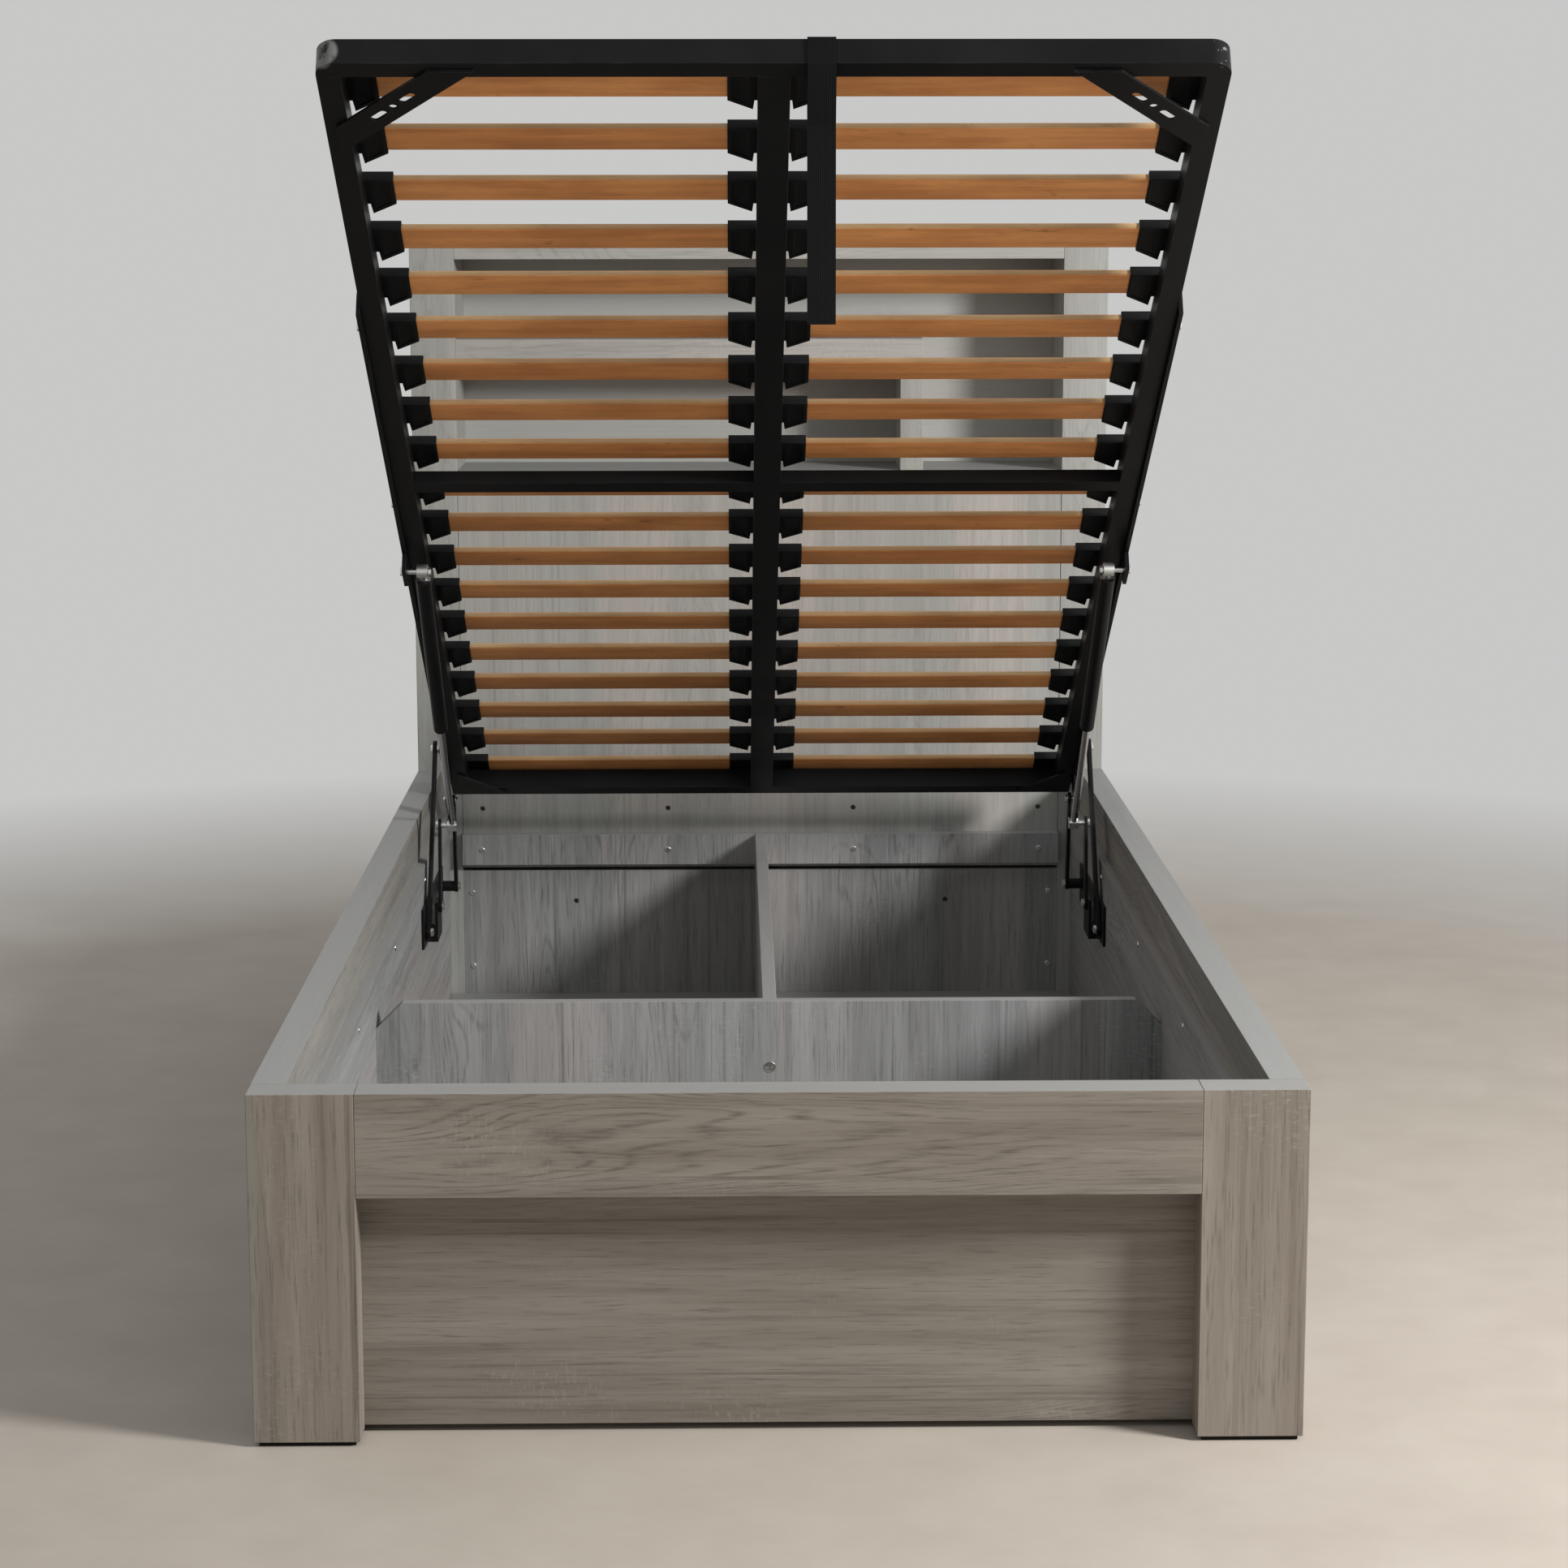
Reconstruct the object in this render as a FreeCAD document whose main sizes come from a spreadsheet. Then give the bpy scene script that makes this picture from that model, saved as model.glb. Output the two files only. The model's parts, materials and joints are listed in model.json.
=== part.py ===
import FreeCAD, Part
import math
import os
import re

# Storage bed frame with a gas-lift slatted platform, drawn open.
# Millimetres, +Z up, +Y towards the headboard, origin on the floor under
# the middle of the bed.

SIZES = {
    "bed_wide": 1086,
    "bed_long": 2045,
    "pad_high": 5,
    "leg_high": 370,
    "leg_wide": 110,
    "leg_thick": 44,
    "rail_high": 110,
    "side_thick": 36,
    "panel_thick": 12,
    "panel_lift": 8,
    "ledge_drop": 65,
    "pad_inset": 5,
    "floor_thick": 6,
    "divider_thick": 18,
    "divider_top": 275,
    "divider_at": 845,
    "divider_clip": 33,
    "batten_high": 48,
    "batten_thick": 22,
    "batten_gap": 2,
    "lower_niche": 169,
    "head_deep": 200,
    "stile_wide": 69,
    "stile_thick": 22,
    "head_side": 18,
    "back_thick": 4,
    "front_low": 219,
    "front_gap": 0.8,
    "rear_top": 214,
    "rear_thick": 16,
    "niche_low": 832,
    "niche_board": 18,
    "shelf_thick": 36,
    "upper_niche": 123,
    "short_niche": 218,
    "hole_wide": 8,
    "hole_deep": 13,
    "head_hole_inset": 32,
    "head_hole_z": 314,
    "rear_hole_inset": 179,
    "rear_hole_z": 164,
    "screw_wide": 4,
    "screw_head": 9,
    "screw_head_high": 1.6,
    "screw_long": 30,
    "ledge_screw_drop": 21,
    "ledge_screw_first": 170,
    "ledge_screw_pitch": 470,
    "rear_screw_inset": 14,
    "rear_screw_low": 59,
    "rear_screw_high": 178,
    "cam_wide": 15,
    "cam_high": 1.5,
    "cam_z": 190,
    "frame_side_gap": 20,
    "foot_gap": 14,
    "tube_wide": 25,
    "tube_high": 30,
    "tube_wall": 1.5,
    "corner_round": 22,
    "beam_wide": 34,
    "cross_high": 18,
    "cross_at": 1015,
    "gusset_thick": 3,
    "gusset_wide": 35,
    "gusset_reach": 126,
    "gusset_short": 70,
    "gusset_inset": 12,
    "gusset_slot": 13,
    "gusset_slot_wide": 9,
    "gusset_step": 23,
    "slat_wide": 42,
    "slat_thick": 8,
    "slat_first": 68,
    "slat_pitch": 101.7,
    "holder_base": 2,
    "holder_high": 12,
    "holder_over": 32,
    "holder_seat": 22,
    "beam_seat": 15,
    "holder_long": 48,
    "holder_flare": 14,
    "holder_grip": 27,
    "slot_clear": 0.2,
    "bar_thick": 5,
    "bar_high": 30,
    "bar_drop": 8,
    "bar_end": 1462,
    "lug_wide": 44,
    "lug_under": 11,
    "bar_bolt_first": 110,
    "bar_bolt_mid": 960,
    "bar_bolt_last": 1410,
    "bolt_wide": 8,
    "bolt_head": 13,
    "bolt_head_high": 4,
    "run_clear": 0.05,
    "side_gap": 0.6,
    "open_tilt": 32.25,
    "open_head_back": 170,
    "open_head_z": 366,
    "shut_head_back": 19,
    "rear_pin_u": 62,
    "rear_pin_drop": 36,
    "front_pin_u": 196,
    "front_pin_drop": 8,
    "strut_pin_u": 820,
    "strut_pin_drop": 22,
    "front_base_z": 220,
    "rear_base_z": 232,
    "lever_back": 460,
    "lever_z": 250,
    "lever_long": 118,
    "lever_tilt": 84,
    "base_thick": 4,
    "base_low": 200,
    "base_top": 258,
    "base_margin": 30,
    "base_screw_step": 80,
    "base_screw_long": 14,
    "bracket_thick": 4,
    "bracket_front": 20,
    "bracket_back": 50,
    "bracket_foot": 12,
    "bracket_over": 8,
    "boss_wide": 16,
    "front_link_off": 9.5,
    "front_link_wide": 24,
    "link_thick": 5,
    "rear_link_inset": 9,
    "rear_link_wide": 18,
    "lever_inset": 4,
    "lever_thick": 4,
    "lever_wide": 20,
    "strut_inset": 20,
    "tube_round": 20,
    "rod_round": 10,
    "eye_round": 18,
    "eye_wide": 14,
    "neck_long": 16,
    "cylinder_long": 340,
    "guide_long": 8,
    "rod_clear": 0.1,
    "rod_inside": 60,
    "strap_wide": 30,
    "strap_thick": 2,
    "strap_gap": 17,
    "strap_hang": 255,
    "strap_meet": 50,
    "strap_clear": 0.5,
}

FORMULAS = {
    "half_wide": "bed_wide / 2",
    "rail_top": "pad_high + leg_high",
    "rail_low": "rail_top - rail_high",
    "rail_in": "half_wide - side_thick",
    "panel_in": "rail_in - panel_thick",
    "ledge_top": "rail_top - ledge_drop",
    "front_in": "leg_thick + panel_thick",
    "total_long": "bed_long + head_deep",
    "front_y": "-total_long / 2",
    "post_in": "half_wide - stile_wide",
    "shelf_low": "niche_low + niche_board + lower_niche",
    "shelf_top": "shelf_low + shelf_thick",
    "head_top": "shelf_top + upper_niche + niche_board",
    "stile_back": "bed_long + stile_thick",
    "back_y": "total_long - back_thick",
    "board_deep": "head_deep - back_thick",
    "floor_top": "panel_lift + floor_thick",
    "divider_back": "divider_at + divider_thick",
    "divider_half": "divider_thick / 2",
    "batten_low": "divider_top - batten_high",
    "frame_half": "panel_in - frame_side_gap",
    "shut_head_y": "bed_long - shut_head_back",
    "open_head_y": "bed_long - open_head_back",
    "frame_long": "shut_head_y - front_in - foot_gap",
    "front_link_in": "frame_half + front_link_off",
    "rear_link_in": "frame_half - rear_link_inset",
    "lever_in": "frame_half - lever_inset",
    "lever_at": "bed_long - lever_back",
    "strut_x": "frame_half - strut_inset",
    "tube_in": "frame_half - tube_wide",
    "beam_half": "beam_wide / 2",
    "strap_at": "beam_half + strap_gap",
    "head_hole_out": "post_in - head_hole_inset",
    "head_hole_in": "head_hole_out / 3",
    "rear_hole_x": "post_in - rear_hole_inset",
    "rear_screw_x": "post_in - rear_screw_inset",
    "shelf_end": "post_in - short_niche",
    "slat_low": "tube_high + holder_base",
    "slat_out": "tube_in - holder_over + holder_grip",
    "slat_in": "beam_half + holder_over - holder_grip",
    "shut_head_z": "divider_top + batten_gap",
    "bar_in": "frame_half",
    "bar_out": "frame_half + bar_thick",
    "base_in": "panel_in - base_thick",
}

LEDGE_SCREWS = 4
SIDES = {"left": -1, "right": 1}

doc = FreeCAD.newDocument("StorageBed")
sheet = doc.addObject("Spreadsheet::Sheet", "Sizes")


def write_cell(row, name, text):
    sheet.set(f"A{row}", name)
    sheet.set(f"B{row}", text)
    sheet.setAlias(f"B{row}", name)


def size(name):
    return float(getattr(sheet, name))


row = 0
for name, value in SIZES.items():
    row += 1
    write_cell(row, name, str(value))
for name, formula in FORMULAS.items():
    row += 1
    write_cell(row, name, "=" + formula)
doc.recompute()


# The platform hangs on two pairs of links. Each base pivot lies where one
# circle passes through the link's pin in the open and in the shut pose.
def turned(angle, y, z):
    c = math.cos(angle)
    s = math.sin(angle)
    return c * y - s * z, s * y + c * z


TILT = math.radians(size("open_tilt"))
OPEN_HEAD = (size("open_head_y"), size("open_head_z"))
SHUT_HEAD = (size("shut_head_y"), size("shut_head_z"))


def pin_open(u, drop):
    y, z = turned(-TILT, -u, -drop)
    return OPEN_HEAD[0] + y, OPEN_HEAD[1] + z


def pin_shut(u, drop):
    return SHUT_HEAD[0] - u, SHUT_HEAD[1] - drop


def base_pivot(u, drop, height):
    ay, az = pin_open(u, drop)
    by, bz = pin_shut(u, drop)
    run = (height - (az + bz) / 2) / (by - ay)
    return (ay + by) / 2 - (bz - az) * run, height


def heading(start, end):
    return math.atan2(end[1] - start[1], end[0] - start[0])


def span(start, end):
    return math.hypot(end[0] - start[0], end[1] - start[1])


REAR_PIN = (size("rear_pin_u"), size("rear_pin_drop"))
FRONT_PIN = (size("front_pin_u"), size("front_pin_drop"))
STRUT_PIN = (size("strut_pin_u"), size("strut_pin_drop"))
REAR_BASE = base_pivot(*REAR_PIN, size("rear_base_z"))
FRONT_BASE = base_pivot(*FRONT_PIN, size("front_base_z"))
LEVER_BASE = (size("lever_at"), size("lever_z"))


def lever_tip(degrees):
    reach = size("lever_long")
    angle = math.radians(degrees)
    return (
        LEVER_BASE[0] + reach * math.cos(angle),
        LEVER_BASE[1] + reach * math.sin(angle),
    )


STRUT_TOP = pin_open(*STRUT_PIN)
STRUT_FOOT = lever_tip(size("lever_tilt"))

SOLVED = {
    "rear_base_y": REAR_BASE[0],
    "front_base_y": FRONT_BASE[0],
    "front_link_long": span(FRONT_BASE, pin_open(*FRONT_PIN)),
    "rear_link_long": span(REAR_BASE, pin_open(*REAR_PIN)),
    "strut_long": span(STRUT_TOP, STRUT_FOOT),
}
for name, value in SOLVED.items():
    row += 1
    write_cell(row, name, repr(round(value, 6)))
doc.recompute()

NAMES = set(SIZES) | set(FORMULAS) | set(SOLVED)


def sized(formula):
    def full(match):
        word = match.group(0)
        return "Sizes." + word if word in NAMES else word

    return re.sub(r"[a-z_]\w*", full, str(formula))


def spare(kind, name):
    return doc.addObject(kind, name)


def bind(thing, **formulas):
    for prop, formula in formulas.items():
        thing.setExpression(prop, sized(formula))
    return thing


def put(thing, x, y, z):
    for axis, formula in zip("xyz", (x, y, z)):
        thing.setExpression("Placement.Base." + axis, sized(formula))
    return thing


def block(x0, x1, y0, y1, z0, z1):
    box = spare("Part::Box", "Block")
    bind(
        box,
        Length=f"({x1}) - ({x0})",
        Width=f"({y1}) - ({y0})",
        Height=f"({z1}) - ({z0})",
    )
    return put(box, x0, y0, z0)


def side_block(side, x0, x1, y0, y1, z0, z1):
    if side > 0:
        return block(x0, x1, y0, y1, z0, z1)
    return block(f"-({x1})", f"-({x0})", y0, y1, z0, z1)


TURN_X = FreeCAD.Rotation(FreeCAD.Vector(0, 1, 0), 90)
TURN_Y = FreeCAD.Rotation(FreeCAD.Vector(1, 0, 0), -90)


def round_x(side, x0, x1, y, z, wide):
    bar = spare("Part::Cylinder", "RoundX")
    bar.Placement = FreeCAD.Placement(FreeCAD.Vector(), TURN_X)
    bind(bar, Radius=f"({wide}) / 2", Height=f"({x1}) - ({x0})")
    return put(bar, x0 if side > 0 else f"-({x1})", y, z)


def round_y(x, y0, y1, z, wide):
    bar = spare("Part::Cylinder", "RoundY")
    bar.Placement = FreeCAD.Placement(FreeCAD.Vector(), TURN_Y)
    bind(bar, Radius=f"({wide}) / 2", Height=f"({y1}) - ({y0})")
    return put(bar, x, y0, z)


def round_z(x, y, z0, z1, wide):
    bar = spare("Part::Cylinder", "RoundZ")
    bind(bar, Radius=f"({wide}) / 2", Height=f"({z1}) - ({z0})")
    return put(bar, x, y, z0)


def joined(things):
    if len(things) == 1:
        return things[0]
    fuse = spare("Part::MultiFuse", "Joined")
    fuse.Shapes = things
    return fuse


def less(thing, tools):
    cut = spare("Part::Cut", "Less")
    cut.Base = thing
    cut.Tool = joined(tools)
    return cut


def within(thing, tool):
    common = spare("Part::Common", "Within")
    common.Base = thing
    common.Tool = tool
    return common


def eased(kind, thing, amounts, chosen):
    doc.recompute()
    edges = []
    for index, edge in enumerate(thing.Shape.Edges, start=1):
        if chosen(edge):
            edges.append((index, *amounts))
    shaped = spare(kind, "Eased")
    shaped.Base = thing
    shaped.Edges = edges
    return shaped


BED = FreeCAD.Placement(
    FreeCAD.Vector(0, size("front_y"), 0), FreeCAD.Rotation()
)


def turned_place(point, degrees):
    return FreeCAD.Placement(
        FreeCAD.Vector(0, size("front_y") + point[0], point[1]),
        FreeCAD.Rotation(FreeCAD.Vector(1, 0, 0), degrees),
    )


PLATFORM = turned_place(OPEN_HEAD, -size("open_tilt"))
nodes = []


def node(label, things, place=BED):
    group = spare("Part::Compound", "Node")
    group.Links = things if isinstance(things, list) else [things]
    group.Label = label
    group.Placement = place
    nodes.append(group)
    return group


# Legs, rails and panels of the box.
LEDGE_SCREW_Z = "ledge_top - ledge_screw_drop"
BASE_SCREWS = ("lever_at + base_screw_step", "rear_base_y - base_screw_step")
wood_screws = []


def ledge_screw_y(index):
    return f"ledge_screw_first + {index} * ledge_screw_pitch"


for word, side in SIDES.items():
    node(
        f"leg_{word}",
        side_block(side, "half_wide - leg_wide", "half_wide", 0, "leg_thick",
                   "pad_high", "rail_top"),
    )
    rail = side_block(side, "rail_in", "half_wide", "leg_thick", "bed_long",
                      "rail_low", "rail_top")
    panel = side_block(side, "panel_in", "rail_in", "front_in", "bed_long",
                       "panel_lift", "ledge_top")
    rail_bores = []
    panel_bores = []
    for y in BASE_SCREWS:
        panel_bores.append(
            round_x(side, "panel_in", "base_in + base_screw_long", y,
                    "rear_base_z", "screw_wide")
        )
    for index in range(LEDGE_SCREWS):
        y = ledge_screw_y(index)
        shank = ("panel_in", "panel_in + screw_long", y, LEDGE_SCREW_Z,
                 "screw_wide")
        rail_bores.append(round_x(side, *shank))
        panel_bores.append(round_x(side, *shank))
        head = round_x(side, "panel_in - screw_head_high", "panel_in", y,
                       LEDGE_SCREW_Z, "screw_head")
        wood_screws.append(joined([head, round_x(side, *shank)]))
    node(f"side_rail_{word}", less(rail, rail_bores))
    node(f"side_panel_{word}", less(panel, panel_bores))

node(
    "front_rail",
    block("leg_wide - half_wide", "half_wide - leg_wide", 0, "leg_thick",
          "rail_low", "rail_top"),
)
node(
    "front_panel",
    block("-rail_in", "rail_in", "leg_thick", "front_in", "panel_lift",
          "ledge_top"),
)

pads = []
for side in SIDES.values():
    for low, high in (("0", "leg_thick"), ("bed_long", "total_long")):
        outer = "leg_wide" if low == "0" else "stile_wide"
        pads.append(
            side_block(side, f"half_wide - {outer} + pad_inset",
                       "half_wide - pad_inset", f"{low} + pad_inset",
                       f"{high} - pad_inset", 0, "pad_high")
        )
node("leg_pads", pads)

# Bottom panels and dividers of the storage space.
node(
    "floor_panel_front",
    block("-panel_in", "panel_in", "front_in", "divider_at", "panel_lift",
          "floor_top"),
)
for word, side in SIDES.items():
    node(
        f"floor_panel_{word}",
        side_block(side, "divider_half", "panel_in", "divider_back",
                   "bed_long", "panel_lift", "floor_top"),
    )


def top_side_edge(edge):
    box = edge.BoundBox
    return box.XLength < 0.1 and box.ZLength < 0.1 and box.ZMax > size("rear_top")


divider = block("-panel_in", "panel_in", "divider_at", "divider_back",
                "panel_lift", "divider_top")
clip = size("divider_clip")
clipped = eased("Part::Chamfer", divider, (clip, clip), top_side_edge)
cam_bore = round_y(0, "divider_at - cam_high", "divider_at + cam_high",
                   "cam_z", "cam_wide")
node("cross_divider", less(clipped, [cam_bore]))
node(
    "divider_cam",
    round_y(0, "divider_at - cam_high / 2", "divider_at + cam_high", "cam_z",
            "cam_wide"),
)
node(
    "centre_divider",
    block("-divider_half", "divider_half", "divider_back", "bed_long",
          "panel_lift", "divider_top"),
)

# Headboard: a hollow post at each end, an open niche and a plain front.
for word, side in SIDES.items():
    node(
        f"headboard_stile_{word}",
        side_block(side, "post_in", "half_wide", "bed_long", "stile_back",
                   "pad_high", "head_top"),
    )
    node(
        f"headboard_inner_{word}",
        side_block(side, "post_in", "post_in + head_side", "stile_back",
                   "back_y", "pad_high", "head_top"),
    )
    node(
        f"headboard_outer_{word}",
        side_block(side, "half_wide - head_side", "half_wide", "stile_back",
                   "total_long", "pad_high", "head_top"),
    )
node(
    "post_caps",
    [
        side_block(side, "post_in + head_side", "half_wide - head_side",
                   "stile_back", "back_y", "head_top - niche_board",
                   "head_top")
        for side in SIDES.values()
    ],
)
node(
    "headboard_top",
    block("-post_in", "post_in", "bed_long", "back_y",
          "head_top - niche_board", "head_top"),
)
node(
    "headboard_back",
    block("head_side - half_wide", "half_wide - head_side", "back_y",
          "total_long", "pad_high", "head_top"),
)
node(
    "niche_floor",
    block("-post_in", "post_in", "bed_long", "back_y", "niche_low",
          "niche_low + niche_board"),
)
node(
    "niche_shelf",
    block("-post_in", "shelf_end", "bed_long", "back_y", "shelf_low",
          "shelf_top"),
)
node(
    "niche_partition",
    block("shelf_end - shelf_thick", "shelf_end", "bed_long", "back_y",
          "niche_low + niche_board", "shelf_low"),
)

BATTEN_SCREW_Z = "divider_top - batten_high / 2"
head_front = block("front_gap - post_in", "post_in - front_gap", "bed_long",
                   "stile_back", "front_low", "niche_low")
front_bores = []
battens = []
for side in SIDES.values():
    batten = side_block(side, "divider_half", "panel_in - batten_thick",
                        "bed_long - batten_thick", "bed_long", "batten_low",
                        "divider_top")
    batten_bores = []
    for place in ("head_hole_in", "head_hole_out"):
        x = place if side > 0 else f"-{place}"
        front_bores.append(
            round_y(x, "bed_long", "bed_long + hole_deep", "head_hole_z",
                    "hole_wide")
        )
        shank = (x, "bed_long - batten_thick",
                 "bed_long - batten_thick + screw_long", BATTEN_SCREW_Z,
                 "screw_wide")
        batten_bores.append(round_y(*shank))
        front_bores.append(round_y(*shank))
        head = round_y(x, "bed_long - batten_thick - screw_head_high",
                       "bed_long - batten_thick", BATTEN_SCREW_Z,
                       "screw_head")
        wood_screws.append(joined([head, round_y(*shank)]))
    battens.append(less(batten, batten_bores))
node("headboard_front", less(head_front, front_bores))
node("head_battens", battens)

rear_panel = block("-post_in", "post_in", "bed_long",
                   "bed_long + rear_thick", "panel_lift", "rear_top")
rear_bores = []
for side in SIDES.values():
    sign = "" if side > 0 else "-"
    rear_bores.append(
        round_y(f"{sign}rear_hole_x", "bed_long", "bed_long + hole_deep",
                "rear_hole_z", "hole_wide")
    )
    for z in ("rear_screw_low", "rear_screw_high"):
        shank = (f"{sign}rear_screw_x", "bed_long", "bed_long + hole_deep", z,
                 "screw_wide")
        rear_bores.append(round_y(*shank))
        head = round_y(f"{sign}rear_screw_x", "bed_long - screw_head_high",
                       "bed_long", z, "screw_head")
        wood_screws.append(joined([head, round_y(*shank)]))
node("rear_panel", less(rear_panel, rear_bores))

# Platform frame of welded tube, in its own place: y = 0 at the head end,
# z = 0 on its underside.
FOOT = "-frame_long"
FOOT_IN = "tube_wide - frame_long"


def tube(x0, x1, y0, y1, z1, along):
    wall = "tube_wall"
    hollow = [f"({x0}) + {wall}", f"({x1}) - {wall}",
              f"({y0}) + {wall}", f"({y1}) - {wall}",
              wall, f"({z1}) - {wall}"]
    ends = {"x": (0, x0, x1), "y": (2, y0, y1)}
    at, low, high = ends[along]
    hollow[at] = low
    hollow[at + 1] = high
    return block(x0, x1, y0, y1, 0, z1), block(*hollow)


def mirrored(side, x0, x1):
    return (x0, x1) if side > 0 else (f"-({x1})", f"-({x0})")


BAR_BOLTS = ("bar_bolt_first", "bar_bolt_mid", "bar_bolt_last")
BAR_BOLT_Z = "bar_high / 2 - bar_drop"
cross_bars = []
gussets = []
bar_bolts = []


def upright_foot_edge(edge):
    box = edge.BoundBox
    return box.ZLength > size("tube_wall") and box.YMax < size("tube_wide") / 2 - size("frame_long")


outer = block("-frame_half", "frame_half", FOOT, FOOT_IN, 0, "tube_high")
bend = size("corner_round")
outer = eased("Part::Fillet", outer, (bend, bend), upright_foot_edge)
inner = block("tube_wall - frame_half", "frame_half - tube_wall",
              f"{FOOT} + tube_wall", f"{FOOT_IN} - tube_wall", "tube_wall",
              "tube_high - tube_wall")
bend = bend - size("tube_wall")
inner = eased("Part::Fillet", inner, (bend, bend), upright_foot_edge)
mouths = [
    side_block(side, "tube_in + tube_wall", "frame_half - tube_wall",
               f"{FOOT_IN} - 2 * tube_wall", FOOT_IN, "tube_wall",
               "tube_high - tube_wall")
    for side in SIDES.values()
]
node("foot_tube", less(outer, [inner] + mouths), PLATFORM)

for word, side in SIDES.items():
    x0, x1 = mirrored(side, "tube_in", "frame_half")
    skin, hollow = tube(x0, x1, FOOT_IN, 0, "tube_high", "y")
    bores = [
        round_x(side, "frame_half - 2 * tube_wall", "frame_half", f"-{u}",
                BAR_BOLT_Z, "bolt_wide")
        for u in BAR_BOLTS
    ]
    node(f"side_tube_{word}", less(skin, [hollow] + bores), PLATFORM)
    x0, x1 = mirrored(side, "beam_half", "tube_in")
    skin, hollow = tube(x0, x1, "-cross_at - tube_wide / 2",
                        "-cross_at + tube_wide / 2", "cross_high", "x")
    cross_bars.append(less(skin, [hollow]))
skin, hollow = tube("-tube_in", "tube_in", "-tube_wide", 0, "tube_high", "x")
node("head_tube", less(skin, [hollow]), PLATFORM)
skin, hollow = tube("-beam_half", "beam_half", FOOT_IN, "-tube_wide",
                    "tube_high", "y")
node("centre_beam", less(skin, [hollow]), PLATFORM)
node("cross_bars", cross_bars, PLATFORM)


# Flat straps welded across the frame's corners on its underside.
def gusset(side, corner_y, toward, pierced):
    # The foot pair are strips across the corner; the head pair fill it.
    if pierced:
        wide = "gusset_wide"
        reach = size("gusset_reach") + size("tube_wide")
    else:
        wide = "(gusset_short + tube_wide) * 0.7071"
        reach = (size("gusset_short") + size("tube_wide")) / 2
    strip = spare("Part::Box", "Strip")
    bind(strip, Length="2 * (gusset_reach + tube_wide)", Width=wide,
         Height="gusset_thick")
    length = 2 * (size("gusset_reach") + size("tube_wide"))
    breadth = size("gusset_wide") if pierced else 2 * reach * 0.7071
    angle = 45 if side * toward > 0 else -45
    turn = FreeCAD.Rotation(FreeCAD.Vector(0, 0, 1), angle)
    middle = FreeCAD.Vector(side * (size("frame_half") - reach / 2),
                            corner_y + toward * reach / 2, 0)
    back = turn.multVec(FreeCAD.Vector(-length / 2, -breadth / 2, 0))
    lift = FreeCAD.Vector(0, 0, -size("gusset_thick"))
    strip.Placement = FreeCAD.Placement(middle + back + lift, turn)
    plate = strip
    if pierced:
        slot = size("gusset_slot")
        slot_wide = size("gusset_slot_wide")
        holes = []
        for step, long in ((-1, slot), (0, 0), (1, slot)):
            along = step * size("gusset_step")
            for end in {-long / 2, long / 2}:
                spot = middle + turn.multVec(
                    FreeCAD.Vector(along + end, 0, 0)
                )
                holes.append(
                    round_z(repr(spot.x), repr(spot.y), "-2 * gusset_thick",
                            "gusset_thick", "gusset_slot_wide")
                )
            if long:
                bridge = spare("Part::Box", "Slot")
                bind(bridge, Length="gusset_slot", Width="gusset_slot_wide",
                     Height="3 * gusset_thick")
                start = turn.multVec(
                    FreeCAD.Vector(along - long / 2, -slot_wide / 2, 0)
                )
                bridge.Placement = FreeCAD.Placement(
                    middle + start + lift * 2, turn
                )
                holes.append(bridge)
        plate = less(strip, holes)
    x0, x1 = mirrored(side, "beam_half", "frame_half - gusset_inset")
    field = block(x0, x1, f"{FOOT} + gusset_inset", "-gusset_inset",
                  "-gusset_thick", 0)
    return within(plate, field)


for side in SIDES.values():
    gussets.append(gusset(side, -size("frame_long"), 1, True))
    gussets.append(gusset(side, 0, -1, False))
node("corner_gussets", gussets, PLATFORM)

# Sprung slats in two columns, each end in a plastic holder.
slat_span = size("slat_first") + size("slat_wide") + size("holder_flare")
slat_room = size("frame_long") - slat_span
SLATS = 1 + int(slat_room / size("slat_pitch"))
slats = []
holders = []
for side in SIDES.values():
    for index in range(SLATS):
        foot_edge = f"{FOOT} + slat_first + {index} * slat_pitch"
        slats.append(
            side_block(side, "slat_in", "slat_out", foot_edge,
                       f"{foot_edge} + slat_wide", "slat_low",
                       "slat_low + slat_thick")
        )
        for mouth, seat, way in (
            ("tube_in - holder_over", "holder_seat", 1),
            ("beam_half + holder_over", "beam_seat", -1),
        ):
            wedge = spare("Part::Wedge", "Holder")
            deep = f"holder_over + {seat}"
            aim = side * way
            wide = ("0", "holder_long", "0", "holder_long + holder_flare")
            if aim > 0:
                wide = ("-holder_long", "0", "-holder_long - holder_flare",
                        "0")
            bind(wedge, Xmin=wide[0], Xmax=wide[1], X2min=wide[2],
                 X2max=wide[3], Ymin="0", Ymax=deep, Zmin="0",
                 Zmax="holder_high", Z2min="0", Z2max="holder_high")
            wedge.Placement = FreeCAD.Placement(
                FreeCAD.Vector(),
                FreeCAD.Rotation(FreeCAD.Vector(0, 0, 1), -90 * aim),
            )
            sign = "" if side > 0 else "-"
            put(wedge, f"{sign}({mouth})",
                f"{foot_edge} - (holder_long - slat_wide) / 2", "tube_high")
            ends = (mouth, f"{mouth} + holder_grip")
            if way < 0:
                ends = (f"{mouth} - holder_grip", mouth)
            slot = side_block(side, *ends, f"{foot_edge} - slot_clear",
                              f"{foot_edge} + slat_wide + slot_clear",
                              "slat_low", "slat_low + slat_thick")
            holders.append(less(wedge, [slot]))
node("slats", slats, PLATFORM)
node("slat_holders", holders, PLATFORM)

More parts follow.
